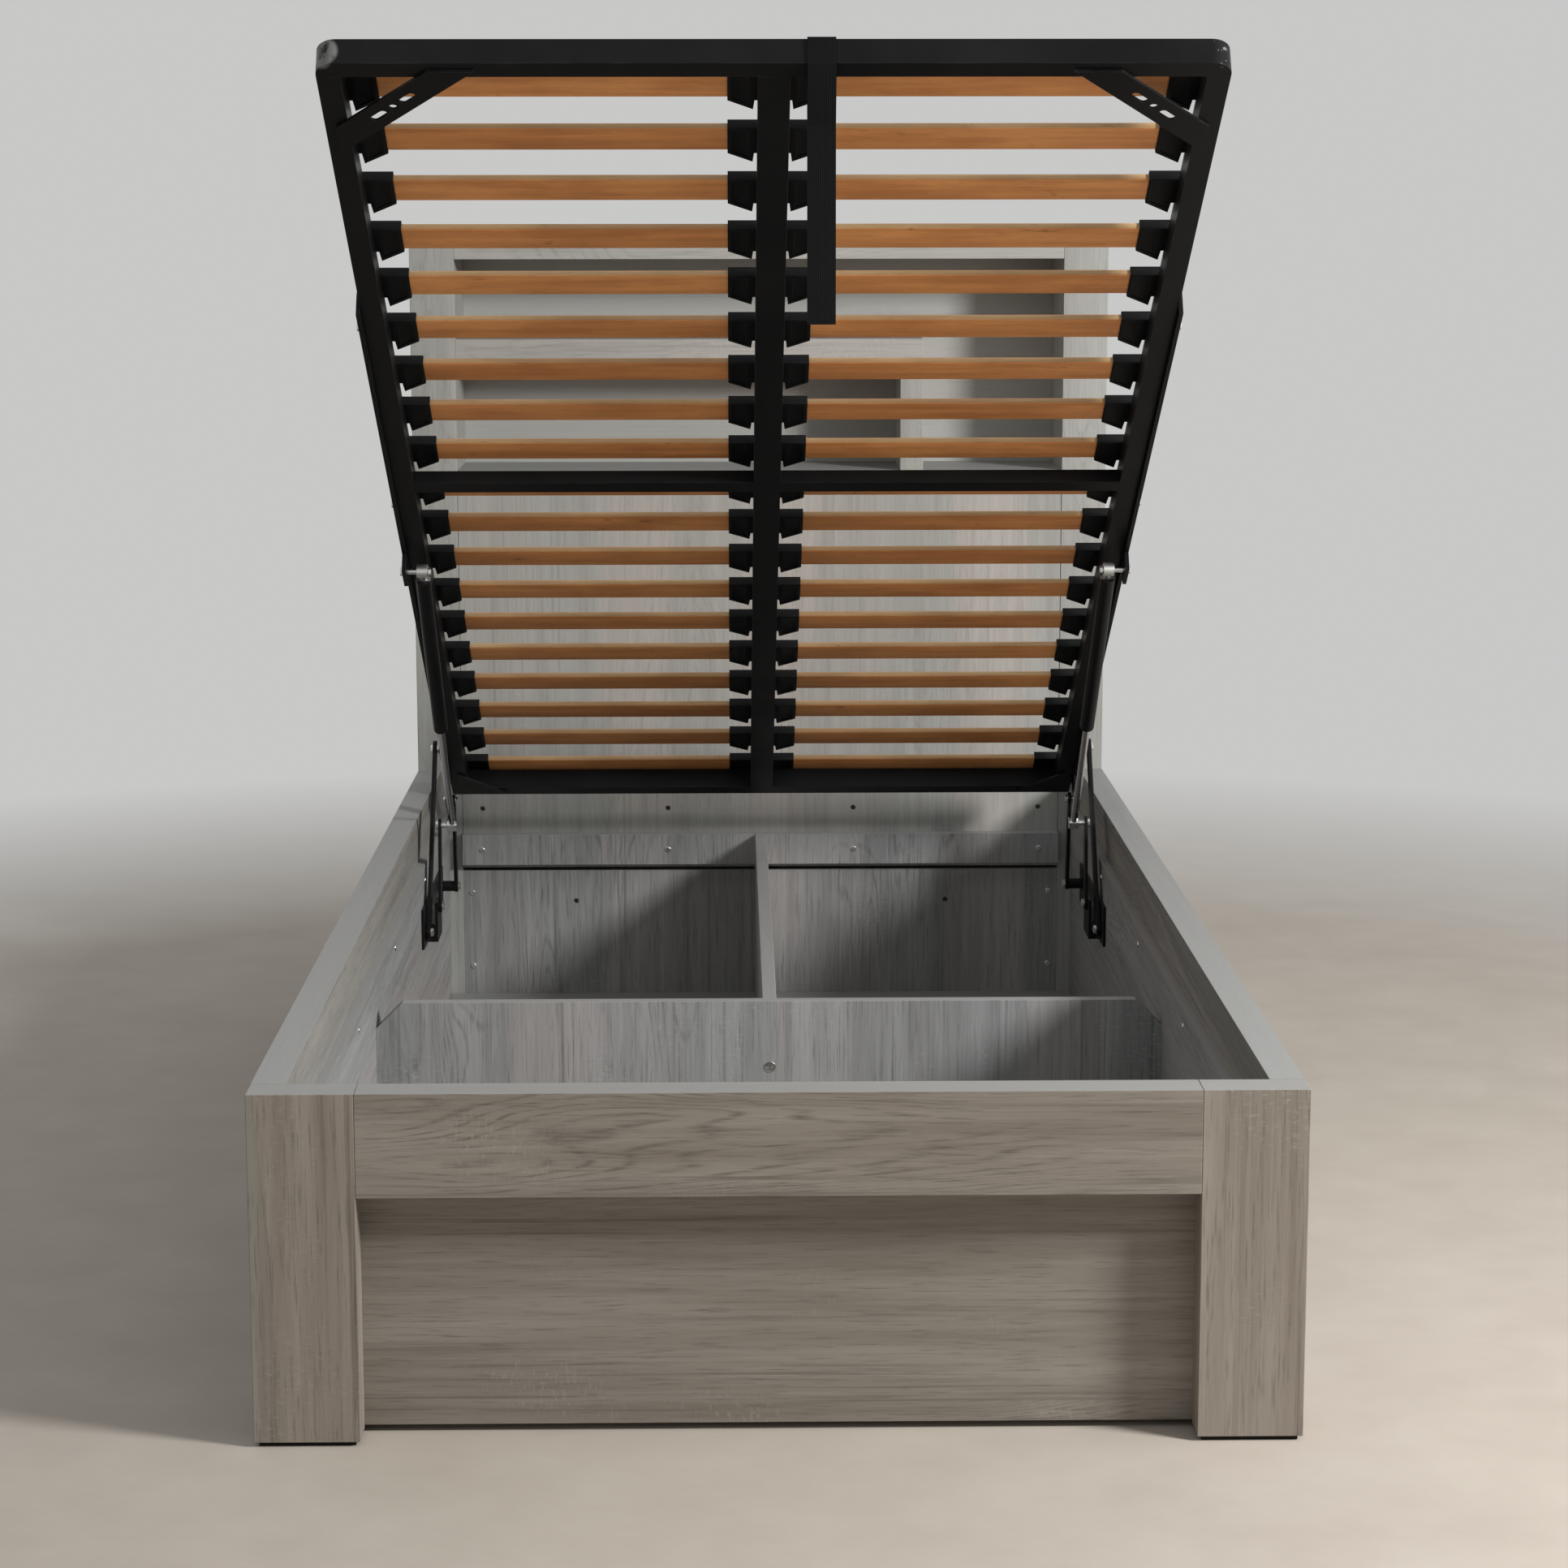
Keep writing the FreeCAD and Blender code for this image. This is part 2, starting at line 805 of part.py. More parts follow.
# Steel bars bolted along the frame's sides carry the links and struts.
REAR_Y = "-rear_pin_u"
FRONT_Y = "-front_pin_u"
STRUT_Y = "-strut_pin_u"
pivot_bolts = []
for word, side in SIDES.items():
    pieces = [
        side_block(side, "bar_in", "bar_out", "-bar_end",
                   "lug_wide / 2 - rear_pin_u", "-bar_drop",
                   "bar_high - bar_drop")
    ]
    for y, drop in ((REAR_Y, "rear_pin_drop"), (FRONT_Y, "front_pin_drop"),
                    (STRUT_Y, "strut_pin_drop")):
        pieces.append(
            side_block(side, "bar_in", "bar_out", f"{y} - lug_wide / 2",
                       f"{y} + lug_wide / 2", f"-{drop} - lug_under", 0)
        )
    bores = []
    for u in BAR_BOLTS:
        place = (f"-{u}", BAR_BOLT_Z)
        bores.append(round_x(side, "bar_in", "bar_out", *place, "bolt_wide"))
        head = round_x(side, "bar_out", "bar_out + bolt_head_high", *place,
                       "bolt_head")
        shank = round_x(side, "frame_half - 2 * tube_wall", "bar_out",
                        *place, "bolt_wide")
        bar_bolts.append(joined([head, shank]))
    for y, drop in ((REAR_Y, "rear_pin_drop"), (FRONT_Y, "front_pin_drop"),
                    (STRUT_Y, "strut_pin_drop")):
        bores.append(round_x(side, "bar_in", "bar_out", y, f"-{drop}",
                             "bolt_wide"))
    node(f"lift_bar_{word}", less(joined(pieces), bores), PLATFORM)
    place = (FRONT_Y, "-front_pin_drop")
    pivot_bolts.append(
        joined([
            round_x(side, "bar_in", "front_link_in + link_thick + side_gap",
                    *place, "bolt_wide"),
            round_x(side, "front_link_in + link_thick + side_gap",
                    "front_link_in + link_thick + bolt_head_high", *place,
                    "bolt_head"),
            round_x(side, "bar_out", "front_link_in - side_gap", *place,
                    "bolt_head"),
        ])
    )
    place = (STRUT_Y, "-strut_pin_drop")
    eye = "strut_x - eye_wide / 2 - side_gap"
    pivot_bolts.append(
        joined([
            round_x(side, "bar_out", "bar_out + bolt_head_high", *place,
                    "bolt_head"),
            round_x(side, eye, "bar_out", *place, "bolt_wide"),
            round_x(side, f"{eye} - bolt_head_high", eye, *place,
                    "bolt_head"),
        ])
    )
    place = (REAR_Y, "-rear_pin_drop")
    pivot_bolts.append(
        joined([
            round_x(side, "rear_link_in + link_thick + side_gap", "bar_out",
                    *place, "bolt_wide"),
            round_x(side, "bar_out", "bar_out + bolt_head_high", *place,
                    "bolt_head"),
        ])
    )
node("lift_bar_bolts", bar_bolts, PLATFORM)
node("platform_pivot_bolts", pivot_bolts, PLATFORM)

# Base bars screwed to the side panels, with three pivots each. The lever's
# pivot stands on a bracket inside the front link's sweep.
BASE_PINS = (
    ("front_base_y", "front_base_z", "front_link_in", "link_thick"),
    ("rear_base_y", "rear_base_z", "rear_link_in", "link_thick"),
    ("lever_at", "lever_z", "lever_in", "lever_thick"),
)
BRACKET_IN = "lever_in + lever_thick + side_gap"
BRACKET_Y = ("lever_at - bracket_front", "lever_at + bracket_back")
base_bolts = []
for word, side in SIDES.items():
    pieces = [
        side_block(side, "base_in", "panel_in",
                   "front_base_y - base_margin", "rear_base_y + base_margin",
                   "base_low", "base_top"),
        side_block(side, BRACKET_IN, f"{BRACKET_IN} + bracket_thick",
                   *BRACKET_Y, "base_low", "lever_z + bracket_over"),
        side_block(side, BRACKET_IN, "base_in", *BRACKET_Y, "base_low",
                   "base_low + bracket_foot"),
    ]
    bores = []
    for y, z, inside, thick in BASE_PINS:
        seat = f"{inside} + {thick} + side_gap"
        root = "panel_in"
        if y == "lever_at":
            root = f"{seat} + bracket_thick"
        else:
            pieces.append(round_x(side, seat, "base_in", y, z, "boss_wide"))
        bores.append(round_x(side, seat, root, y, z, "bolt_wide"))
        base_bolts.append(
            joined([
                round_x(side, f"{inside} - side_gap", root, y, z,
                        "bolt_wide"),
                round_x(side, f"{inside} - side_gap - bolt_head_high",
                        f"{inside} - side_gap", y, z, "bolt_head"),
            ])
        )
    for y in BASE_SCREWS:
        head = ("base_in", "base_in + screw_head_high", y, "rear_base_z",
                "screw_head")
        shank = ("base_in", "base_in + base_screw_long", y, "rear_base_z",
                 "screw_wide")
        bores.append(round_x(side, *head))
        bores.append(round_x(side, *shank))
        wood_screws.append(
            joined([round_x(side, *head), round_x(side, *shank)])
        )
    node(f"base_bar_{word}", less(joined(pieces), bores))
node("base_pivot_bolts", base_bolts)
node("wood_screws", wood_screws)


# Links and levers: flat bars with round ends, drawn along +y from the base
# pivot and turned to the open pose.
def flat_link(side, inside, thick, long, wide, far_bore):
    x = (inside, f"{inside} + {thick}")
    bar = joined([
        side_block(side, *x, 0, long, f"-{wide} / 2", f"{wide} / 2"),
        round_x(side, *x, 0, 0, wide),
        round_x(side, *x, long, 0, wide),
    ])
    return less(bar, [
        round_x(side, *x, 0, 0, "bolt_wide + 2 * run_clear"),
        round_x(side, *x, long, 0, far_bore),
    ])


def aimed(start, end):
    return turned_place(start, math.degrees(heading(start, end)))


FRONT_PLACE = aimed(FRONT_BASE, pin_open(*FRONT_PIN))
REAR_PLACE = aimed(REAR_BASE, pin_open(*REAR_PIN))
LEVER_PLACE = turned_place(LEVER_BASE, size("lever_tilt"))
rear_bolts = []
lever_bolts = []
for word, side in SIDES.items():
    node(
        f"front_link_{word}",
        flat_link(side, "front_link_in", "link_thick", "front_link_long",
                  "front_link_wide", "bolt_wide + 2 * run_clear"),
        FRONT_PLACE,
    )
    node(
        f"rear_link_{word}",
        flat_link(side, "rear_link_in", "link_thick", "rear_link_long",
                  "rear_link_wide", "bolt_wide"),
        REAR_PLACE,
    )
    rear_bolts.append(
        joined([
            round_x(side, "rear_link_in", "rear_link_in + link_thick",
                    "rear_link_long", 0, "bolt_wide"),
            round_x(side, "rear_link_in - bolt_head_high", "rear_link_in",
                    "rear_link_long", 0, "bolt_head"),
        ])
    )
    node(
        f"strut_lever_{word}",
        flat_link(side, "lever_in", "lever_thick", "lever_long",
                  "lever_wide", "bolt_wide"),
        LEVER_PLACE,
    )
    lever_bolts.append(
        joined([
            round_x(side, "strut_x + eye_wide / 2 + side_gap",
                    "lever_in + lever_thick", "lever_long", 0, "bolt_wide"),
            round_x(side, "lever_in + lever_thick",
                    "lever_in + lever_thick + bolt_head_high", "lever_long",
                    0, "bolt_head"),
        ])
    )
node("rear_link_bolts", rear_bolts, REAR_PLACE)
node("strut_foot_bolts", lever_bolts, LEVER_PLACE)

# Gas struts, drawn along +y from the upper eye.
STRUT_PLACE = aimed(STRUT_TOP, STRUT_FOOT)
BODY_START = "neck_long"
BODY_END = "neck_long + cylinder_long"


def strut_eye(side, y):
    return round_x(side, "strut_x - eye_wide / 2", "strut_x + eye_wide / 2",
                   y, 0, "eye_round")


for word, side in SIDES.items():
    x = "strut_x" if side > 0 else "-strut_x"
    body = joined([
        strut_eye(side, 0),
        round_y(x, 0, BODY_START, 0, "rod_round"),
        round_y(x, BODY_START, BODY_END, 0, "tube_round"),
    ])
    bores = [
        round_x(side, "strut_x - eye_wide / 2", "strut_x + eye_wide / 2", 0,
                0, "bolt_wide + 2 * run_clear"),
        round_y(x, "neck_long + guide_long", BODY_END, 0,
                "rod_round + 2 * rod_clear"),
    ]
    node(f"strut_cylinder_{word}", less(body, bores), STRUT_PLACE)
    rod = joined([
        round_y(x, f"{BODY_END} - rod_inside", "strut_long", 0, "rod_round"),
        strut_eye(side, "strut_long"),
    ])
    rod_bore = round_x(side, "strut_x - eye_wide / 2",
                       "strut_x + eye_wide / 2", "strut_long", 0,
                       "bolt_wide")
    node(f"strut_rod_{word}", less(rod, [rod_bore]), STRUT_PLACE)

# Webbing pull strap: a loop round the foot tube that hangs straight down.
long = size("frame_long")
corners = [
    turned(-TILT, -long, 0),
    turned(-TILT, -long, size("tube_high")),
    turned(-TILT, size("tube_wide") - long, size("tube_high")),
    turned(-TILT, size("tube_wide") - long, 0),
]


def loop(grow, meet, tail):
    front, top, rear, low = corners
    middle = low[0]
    return [
        (front[0] - grow, front[1] - grow / 2),
        (front[0] - grow, front[1] + grow / 2),
        (top[0] - grow, top[1] + grow),
        (top[0] + grow, top[1] + grow),
        (rear[0] + grow, rear[1] + grow / 2),
        (rear[0] + grow, rear[1] - grow / 2),
        (middle + tail, low[1] - meet),
        (middle + tail, low[1] - size("strap_hang")),
        (middle - tail, low[1] - size("strap_hang")),
        (middle - tail, low[1] - meet),
    ]


def strap_prism(points):
    wire = spare("Part::Polygon", "StrapLine")
    wire.Nodes = [FreeCAD.Vector(0, y, z) for y, z in points]
    wire.Close = True
    prism = spare("Part::Extrusion", "StrapBand")
    prism.Base = wire
    prism.Dir = FreeCAD.Vector(1, 0, 0)
    prism.DirMode = "Custom"
    prism.Solid = True
    bind(prism, LengthFwd="strap_wide")
    return put(prism, "strap_at", 0, 0)


thick = size("strap_thick")
clear = size("strap_clear")
meet = size("strap_meet")
band = strap_prism(loop(clear + thick, meet, thick))
gap_points = loop(clear, meet, 0)
window = strap_prism(gap_points[:6] + [gap_points[6]])
STRAP_PLACE = turned_place(OPEN_HEAD, 0)
node("pull_strap", less(band, [window]), STRAP_PLACE)

doc.recompute()
for thing in doc.Objects:
    if "Invalid" in thing.State or "Error" in thing.State:
        raise RuntimeError(thing.Name + " " + str(thing.State))
os.makedirs("parts", exist_ok=True)
for group in nodes:
    shape = group.Shape
    if shape.isNull() or not shape.isValid():
        raise RuntimeError("bad shape " + group.Label)
    solids = shape.Solids
    if not solids:
        raise RuntimeError("no solid in " + group.Label)
    if len(solids) == 1:
        shape = solids[0]
    shape.exportStep("parts/" + group.Label + ".step")
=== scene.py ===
# %% [markdown]
# # A storage bed frame, open
#
# The imported model is a fixed frame: boards, tubes, links and struts already
# stand where they belong. This lesson gives each of them a finish, rebuilds
# the pieces whose small shapes matter, and sets a camera at the bed's foot.

# %% Load the imported bed
import json
import math
import bmesh
import bpy
from mathutils import Matrix, Vector


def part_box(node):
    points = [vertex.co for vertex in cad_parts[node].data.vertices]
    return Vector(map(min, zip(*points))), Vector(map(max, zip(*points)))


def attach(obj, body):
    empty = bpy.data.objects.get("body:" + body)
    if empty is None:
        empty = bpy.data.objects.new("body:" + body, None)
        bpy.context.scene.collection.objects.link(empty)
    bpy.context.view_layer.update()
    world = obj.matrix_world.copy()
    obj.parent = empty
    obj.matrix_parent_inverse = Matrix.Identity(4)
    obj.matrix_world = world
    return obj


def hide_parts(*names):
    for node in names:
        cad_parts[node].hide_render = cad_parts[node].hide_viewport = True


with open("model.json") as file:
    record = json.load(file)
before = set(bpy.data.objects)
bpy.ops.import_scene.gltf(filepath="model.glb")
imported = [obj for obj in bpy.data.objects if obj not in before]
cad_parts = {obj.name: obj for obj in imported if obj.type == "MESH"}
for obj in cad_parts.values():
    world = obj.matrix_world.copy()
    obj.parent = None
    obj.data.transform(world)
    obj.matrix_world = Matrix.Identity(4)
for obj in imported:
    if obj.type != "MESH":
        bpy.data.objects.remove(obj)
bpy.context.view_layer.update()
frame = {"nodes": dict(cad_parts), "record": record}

nodes = frame["nodes"]

# %% [markdown]
# ## Camera
#
# The photograph is taken from standing height, a little left of the middle,
# with a long lens. A camera can be placed by eye, or solved from edges whose
# real sizes are known. The legs, rails and headboard gave the numbers below,
# so the view is set as a direction instead of being turned by hand.

# %% Camera at the foot of the bed
CAMERA_PLACE = Vector((-0.0495, -4.6115, 1.2747))
CAMERA_YAW, CAMERA_PITCH, CAMERA_ROLL = 0.0157, 0.1652, -0.0012
LENS_MM, SENSOR_MM, SEE_FAR = 80.99, 36, 200


def camera_turn(yaw, pitch, roll):
    ahead = Vector((math.sin(yaw) * math.cos(pitch),
                    math.cos(yaw) * math.cos(pitch), -math.sin(pitch)))
    level = Vector((math.cos(yaw), -math.sin(yaw), 0))
    above = level.cross(ahead)
    right = level * math.cos(roll) + above * math.sin(roll)
    return Matrix((right, right.cross(ahead), -ahead)).transposed()


bpy.ops.object.select_all(action="DESELECT")
bpy.ops.object.camera_add()
camera = bpy.context.object
camera.name = "foot_view"
turn = camera_turn(CAMERA_YAW, CAMERA_PITCH, CAMERA_ROLL).to_4x4()
camera.matrix_world = Matrix.Translation(CAMERA_PLACE) @ turn
camera.data.sensor_width = SENSOR_MM
camera.data.lens = LENS_MM
camera.data.clip_end = SEE_FAR
bpy.context.scene.camera = camera
bpy.context.scene.view_settings.view_transform = "Standard"
print("camera lens:", camera.data.lens, "mm")

# %% [markdown]
# ## Light
#
# The bed stands beside a window on its right: the inside of the left rail and
# the headboard are lit, the right side and the back of the box are in shade.
# The slant of those shadows gives the height of the light. One soft lamp
# stands for the window and a dim even sky fills the shade. What the lens and
# shiny metal see far away is a plain pale grey.

# %% One soft lamp
WINDOW_PLACE = Vector((2.9, -2.3, 2.15))
WINDOW_TARGET = Vector((0, -0.2, 0.5))
WINDOW_WIDE, WINDOW_WATTS = 0.8, 165

bpy.ops.object.select_all(action="DESELECT")
bpy.ops.object.light_add(type="AREA", location=WINDOW_PLACE)
window = bpy.context.object
window.name = "window_light"
window.rotation_euler = (WINDOW_TARGET - WINDOW_PLACE).to_track_quat(
    "-Z", "Y").to_euler()
window.data.shape = "DISK"
window.data.size = WINDOW_WIDE
window.data.energy = WINDOW_WATTS

# %% [markdown]
# ### Sky
#
# The world has two backgrounds. One fills the shade and the other is what
# the picture shows; the kind of ray decides between them. The floor uses the
# same two helpers later.

# %% A dim sky behind a pale background
SKY_COLOUR, SKY_LEVEL = (0.96, 0.98, 1, 1), 0.48
BACKGROUND = (0.58, 0.58, 0.575, 1)


def seen_rays(tree):
    """One for rays from the lens, from shiny metal and through glass."""
    path = tree.nodes.new("ShaderNodeLightPath")
    seen = path.outputs["Is Camera Ray"]
    for label in ("Is Glossy Ray", "Is Transmission Ray"):
        either = tree.nodes.new("ShaderNodeMath")
        either.operation = "MAXIMUM"
        tree.links.new(seen, either.inputs[0])
        tree.links.new(path.outputs[label], either.inputs[1])
        seen = either.outputs[0]
    return seen


def mixed_surface(tree, share, first, second, out):
    """Two shaders mixed by a share into an output node."""
    mix = tree.nodes.new("ShaderNodeMixShader")
    tree.links.new(share, mix.inputs["Fac"])
    tree.links.new(first.outputs[0], mix.inputs[1])
    tree.links.new(second.outputs[0], mix.inputs[2])
    tree.links.new(mix.outputs[0], out.inputs["Surface"])


world = bpy.data.worlds.new("studio")
world.use_nodes = True
bpy.context.scene.world = world
sky = world.node_tree
sky.nodes.clear()
sky_out = sky.nodes.new("ShaderNodeOutputWorld")
sky_fill = sky.nodes.new("ShaderNodeBackground")
sky_seen = sky.nodes.new("ShaderNodeBackground")
sky_fill.inputs["Color"].default_value = SKY_COLOUR
sky_fill.inputs["Strength"].default_value = SKY_LEVEL
sky_seen.inputs["Color"].default_value = BACKGROUND
mixed_surface(sky, seen_rays(sky), sky_fill, sky_seen, sky_out)
print("sky nodes:", len(sky.nodes))

# %% [markdown]
# ## Ways of working
#
# Every new piece starts as one primitive that is the only thing selected.
# Edges and faces are then chosen by where they lie, as a hand would click
# them, and the last step puts the piece's place into its mesh.

# %% Helpers for whole pieces
MM = 0.001


def named(piece, name):
    piece.name = piece.data.name = name
    return piece


def only(*pieces):
    """Make these the selection, with the first one active."""
    bpy.ops.object.select_all(action="DESELECT")
    for piece in pieces:
        piece.select_set(True)
    bpy.context.view_layer.objects.active = pieces[0]


def apply_place(piece, place=None):
    only(piece)
    if place is not None:
        piece.matrix_world = place
    bpy.ops.object.transform_apply(location=True, rotation=True, scale=True)


def begin(name, add, **settings):
    """Add one primitive, alone in the selection, with its place applied."""
    bpy.ops.object.select_all(action="DESELECT")
    add(**settings)
    piece = named(bpy.context.object, name)
    apply_place(piece)
    return piece


def box_between(name, low, high):
    """A cube stretched between two corners, ready to be shaped."""
    low, high = Vector(low), Vector(high)
    return begin(name, bpy.ops.mesh.primitive_cube_add, size=1,
                 location=(low + high) / 2, scale=high - low)


def applied(piece, kind, **settings):
    """Add one modifier and apply it at once."""
    only(piece)
    modifier = piece.modifiers.new(kind.title(), kind)
    for key, value in settings.items():
        setattr(modifier, key, value)
    bpy.ops.object.modifier_apply(modifier=modifier.name)


def repeated(piece, count, step):
    """Copies in a row, one step apart, in the same mesh."""
    applied(piece, "ARRAY", count=count, use_relative_offset=False,
            use_constant_offset=True, constant_offset_displace=step)


def copied(piece, place):
    """A copy with its own mesh, moved by a matrix that is then applied."""
    only(piece)
    bpy.ops.object.duplicate(linked=False)
    twin = bpy.context.object
    apply_place(twin, place)
    return twin


def joined(first, *others):
    only(first, *others)
    bpy.ops.object.join()
    return first


def smooth(piece, degrees):
    """Smooth shading wherever faces meet under this angle."""
    only(piece)
    bpy.ops.object.shade_smooth_by_angle(angle=math.radians(degrees))


print("helpers for pieces ready")

# %% [markdown]
# ### In edit mode
#
# A test says which corners, edges or faces are wanted. Framing a face and
# pushing its middle in is needed often, so it has a helper of its own.

# %% Helpers for edit mode
KINDS = {"verts": "VERT", "edges": "EDGE", "faces": "FACE"}
SAME_PLACE = 0.05 * MM
FACING = 0.9


def edit(piece):
    only(piece)
    bpy.ops.object.mode_set(mode="EDIT")


def done():
    bpy.ops.object.mode_set(mode="OBJECT")


def near(a, b):
    return abs(a - b) < SAME_PLACE


def centre(face):
    return face.calc_center_median()


def choose(piece, kind, test):
    """Select the parts of one kind that pass the test."""
    bpy.ops.mesh.select_mode(type=KINDS[kind])
    bpy.ops.mesh.select_all(action="DESELECT")
    shape = bmesh.from_edit_mesh(piece.data)
    shape.normal_update()
    for part in getattr(shape, kind):
        if test(part):
            part.select_set(True)
    shape.select_flush_mode()
    bmesh.update_edit_mesh(piece.data)


def extruded(push):
    bpy.ops.mesh.extrude_region_move(TRANSFORM_OT_translate={"value": push})


def sunk(piece, test, rim, push):
    """Frame the chosen faces and push what lies inside the frame."""
    choose(piece, "faces", test)
    bpy.ops.mesh.inset(thickness=rim)
    extruded(push)


def eased(piece, test, offset, segments):
    """Bevel the chosen edges."""
    choose(piece, "edges", test)
    bpy.ops.mesh.bevel(offset=offset, segments=segments, affect="EDGES")


print("helpers for edit mode ready")

# %% [markdown]
# ## Node groups
#
# Several finishes share the same effects: printed oak figure, rubbed edges
# and uneven gloss. Each effect is built once as a group of nodes that gives
# out masks, and each finish then decides what a mask does to its colour.

# %% Helpers for node trees
FLOAT, VECTOR = "NodeSocketFloat", "NodeSocketVector"


def node_in(tree, kind, settings=None, **inputs):
    """A node with its settings and its unlinked inputs filled in."""
    made = tree.nodes.new(kind)
    for key, value in (settings or {}).items():
        setattr(made, key, value)
    for key, value in inputs.items():
        made.inputs[key.replace("_", " ")].default_value = value
    return made


def feed(tree, socket, value):
    """Link a socket, or fill in a colour or a number."""
    if isinstance(value, bpy.types.NodeSocket):
        tree.links.new(value, socket)
    elif isinstance(value, tuple):
        socket.default_value = (*value, 1)
    else:
        socket.default_value = value


def sums(tree, operation, first, second=0.0):
    """A math node whose inputs are sockets or numbers."""
    made = node_in(tree, "ShaderNodeMath", {"operation": operation})
    feed(tree, made.inputs[0], first)
    feed(tree, made.inputs[1], second)
    return made.outputs[0]


def times(tree, first, second):
    return sums(tree, "MULTIPLY", first, second)


def band(tree, value, low, high, start=0.0, end=1.0):
    """A value between low and high, stretched to start..end and clamped."""
    made = node_in(tree, "ShaderNodeMapRange", From_Min=low, From_Max=high,
                   To_Min=start, To_Max=end)
    tree.links.new(value, made.inputs["Value"])
    return made.outputs["Result"]


def xyz(tree, vector):
    """The three lengths of a vector."""
    made = tree.nodes.new("ShaderNodeSeparateXYZ")
    tree.links.new(vector, made.inputs[0])
    return made.outputs


def distance(tree, vector, point):
    made = node_in(tree, "ShaderNodeVectorMath", {"operation": "DISTANCE"})
    tree.links.new(vector, made.inputs[0])
    made.inputs[1].default_value = point
    return made.outputs["Value"]


print("node helpers ready")

# %% [markdown]
# ### Noise and groups
#
# Wood changes slowly along its grain and quickly across it. Noise gives that
# look when it is stretched along X, so the grain always runs along X here,
# and a finish turns its coordinates to suit the board.

# %% Helpers for noise and groups
def noise(tree, vector, scale, detail=2.0, roughness=0.5, warp=0.0):
    """Noise on a vector that is stretched by scale first."""
    stretch = node_in(tree, "ShaderNodeMapping", Scale=scale)
    tree.links.new(vector, stretch.inputs["Vector"])
    made = node_in(tree, "ShaderNodeTexNoise", Scale=1.0, Detail=detail,
                   Roughness=roughness, Distortion=warp)
    tree.links.new(stretch.outputs[0], made.inputs["Vector"])
    return made.outputs["Fac"]


def grain_waves(tree, vector, waves, cuts):
    """Grain noises by name; those that have a cut become masks."""
    made = {}
    for label, (along, across, *shape) in waves.items():
        wave = noise(tree, vector, (along, across, across), *shape)
        made[label] = band(tree, wave, *cuts[label]) if label in cuts else wave
    return made


def new_group(name, inputs, outputs):
    """An empty shader group with named sockets."""
    tree = bpy.data.node_groups.new(name, "ShaderNodeTree")
    for label, (kind, value) in inputs.items():
        socket = tree.interface.new_socket(label, in_out="INPUT",
                                           socket_type=kind)
        if value is not None:
            socket.default_value = value
    for label in outputs:
        tree.interface.new_socket(label, in_out="OUTPUT", socket_type=FLOAT)
    return (tree, tree.nodes.new("NodeGroupInput"),
            tree.nodes.new("NodeGroupOutput"))


print("noise helpers ready")

# %% [markdown]
# ### Oak figure
#
# The boards carry a printed film of sawn oak: staves of slightly different
# tone, arched lines where the saw met the rings, bundles of fine dark lines,
# pores, and short pale flecks across the grain. Streaks, pores and flecks
# are noises of different lengths. The first table gives their waves per
# metre along and across the grain, detail, roughness and warp; the second
# says where a noise starts and ends as a mask.

# %% Oak figure: its noises
OAK_WAVES = {
    "sway": (1.5, 2, 1),
    "field": (1.1, 8, 2.5, 0.42, 0.25),
    "patch": (1.3, 4.5, 1),
    "broken": (22, 330, 3, 0.65),
    "fine": (2.4, 210, 3, 0.6, 0.1),
    "bundle": (1.6, 16, 2),
    "streak": (2.0, 42, 6, 0.68, 0.15),
    "broad": (0.7, 9, 2, 0.5),
    "pore": (18, 420, 3, 0.6),
    "fleck_patch": (5, 9, 2),
    "fleck": (260, 90, 2, 0.6),
}
OAK_CUTS = {
    "patch": (0.53, 0.62),
    "broken": (0.40, 0.62, 0.1, 1),
    "fine": (0.54, 0.68),
    "bundle": (0.42, 0.62, 0.15, 1),
    "pore": (0.54, 0.70),
    "fleck_patch": (0.55, 0.68),
    "fleck": (0.54, 0.70),
}
oak_tree, oak_in, oak_out = new_group(
    "oak_figure", {"Vector": (VECTOR, None)},
    ("Tone", "Line", "Pore", "Fleck", "Stave"))
grain = oak_in.outputs["Vector"]
wave = grain_waves(oak_tree, grain, OAK_WAVES, OAK_CUTS)
print("oak noises:", len(wave))

# %% [markdown]
# ### Staves and arches
#
# A stave is a strip of board: its place across the grain, rounded down, is a
# number, and white noise on that number is its tone. An arched line is a
# contour of a smooth field, so the slow field is cut into steps.

# %% Oak figure: staves, arches and tone
STAVES_PER_METRE, RINGS = 9.0, 44.0
ARCH_CUT = (0.22, 0.02)
STREAK_TONE, BROAD_TONE, STAVE_TONES = 0.55, 0.3, (0.04, 0.11)

place = xyz(oak_tree, grain)
stave_place = times(oak_tree, sums(oak_tree, "ADD", place["Y"], place["Z"]),
                    STAVES_PER_METRE)
stave_pick = node_in(oak_tree, "ShaderNodeTexWhiteNoise",
                     {"noise_dimensions": "1D"})
oak_tree.links.new(
    sums(oak_tree, "FLOOR", sums(oak_tree, "ADD", stave_place, wave["sway"])),
    stave_pick.inputs["W"])
stave = stave_pick.outputs["Value"]
contour = sums(oak_tree, "PINGPONG", times(oak_tree, wave["field"], RINGS),
               0.5)
arch = times(oak_tree, times(oak_tree, band(oak_tree, contour, *ARCH_CUT),
                             wave["broken"]), wave["patch"])
line = sums(oak_tree, "MAXIMUM", arch,
            times(oak_tree, wave["fine"], wave["bundle"]))
tone = sums(oak_tree, "ADD", times(oak_tree, wave["streak"], STREAK_TONE),
            sums(oak_tree, "ADD", times(oak_tree, wave["broad"], BROAD_TONE),
                 band(oak_tree, stave, 0, 1, *STAVE_TONES)))
fleck = times(oak_tree, wave["fleck"], wave["fleck_patch"])
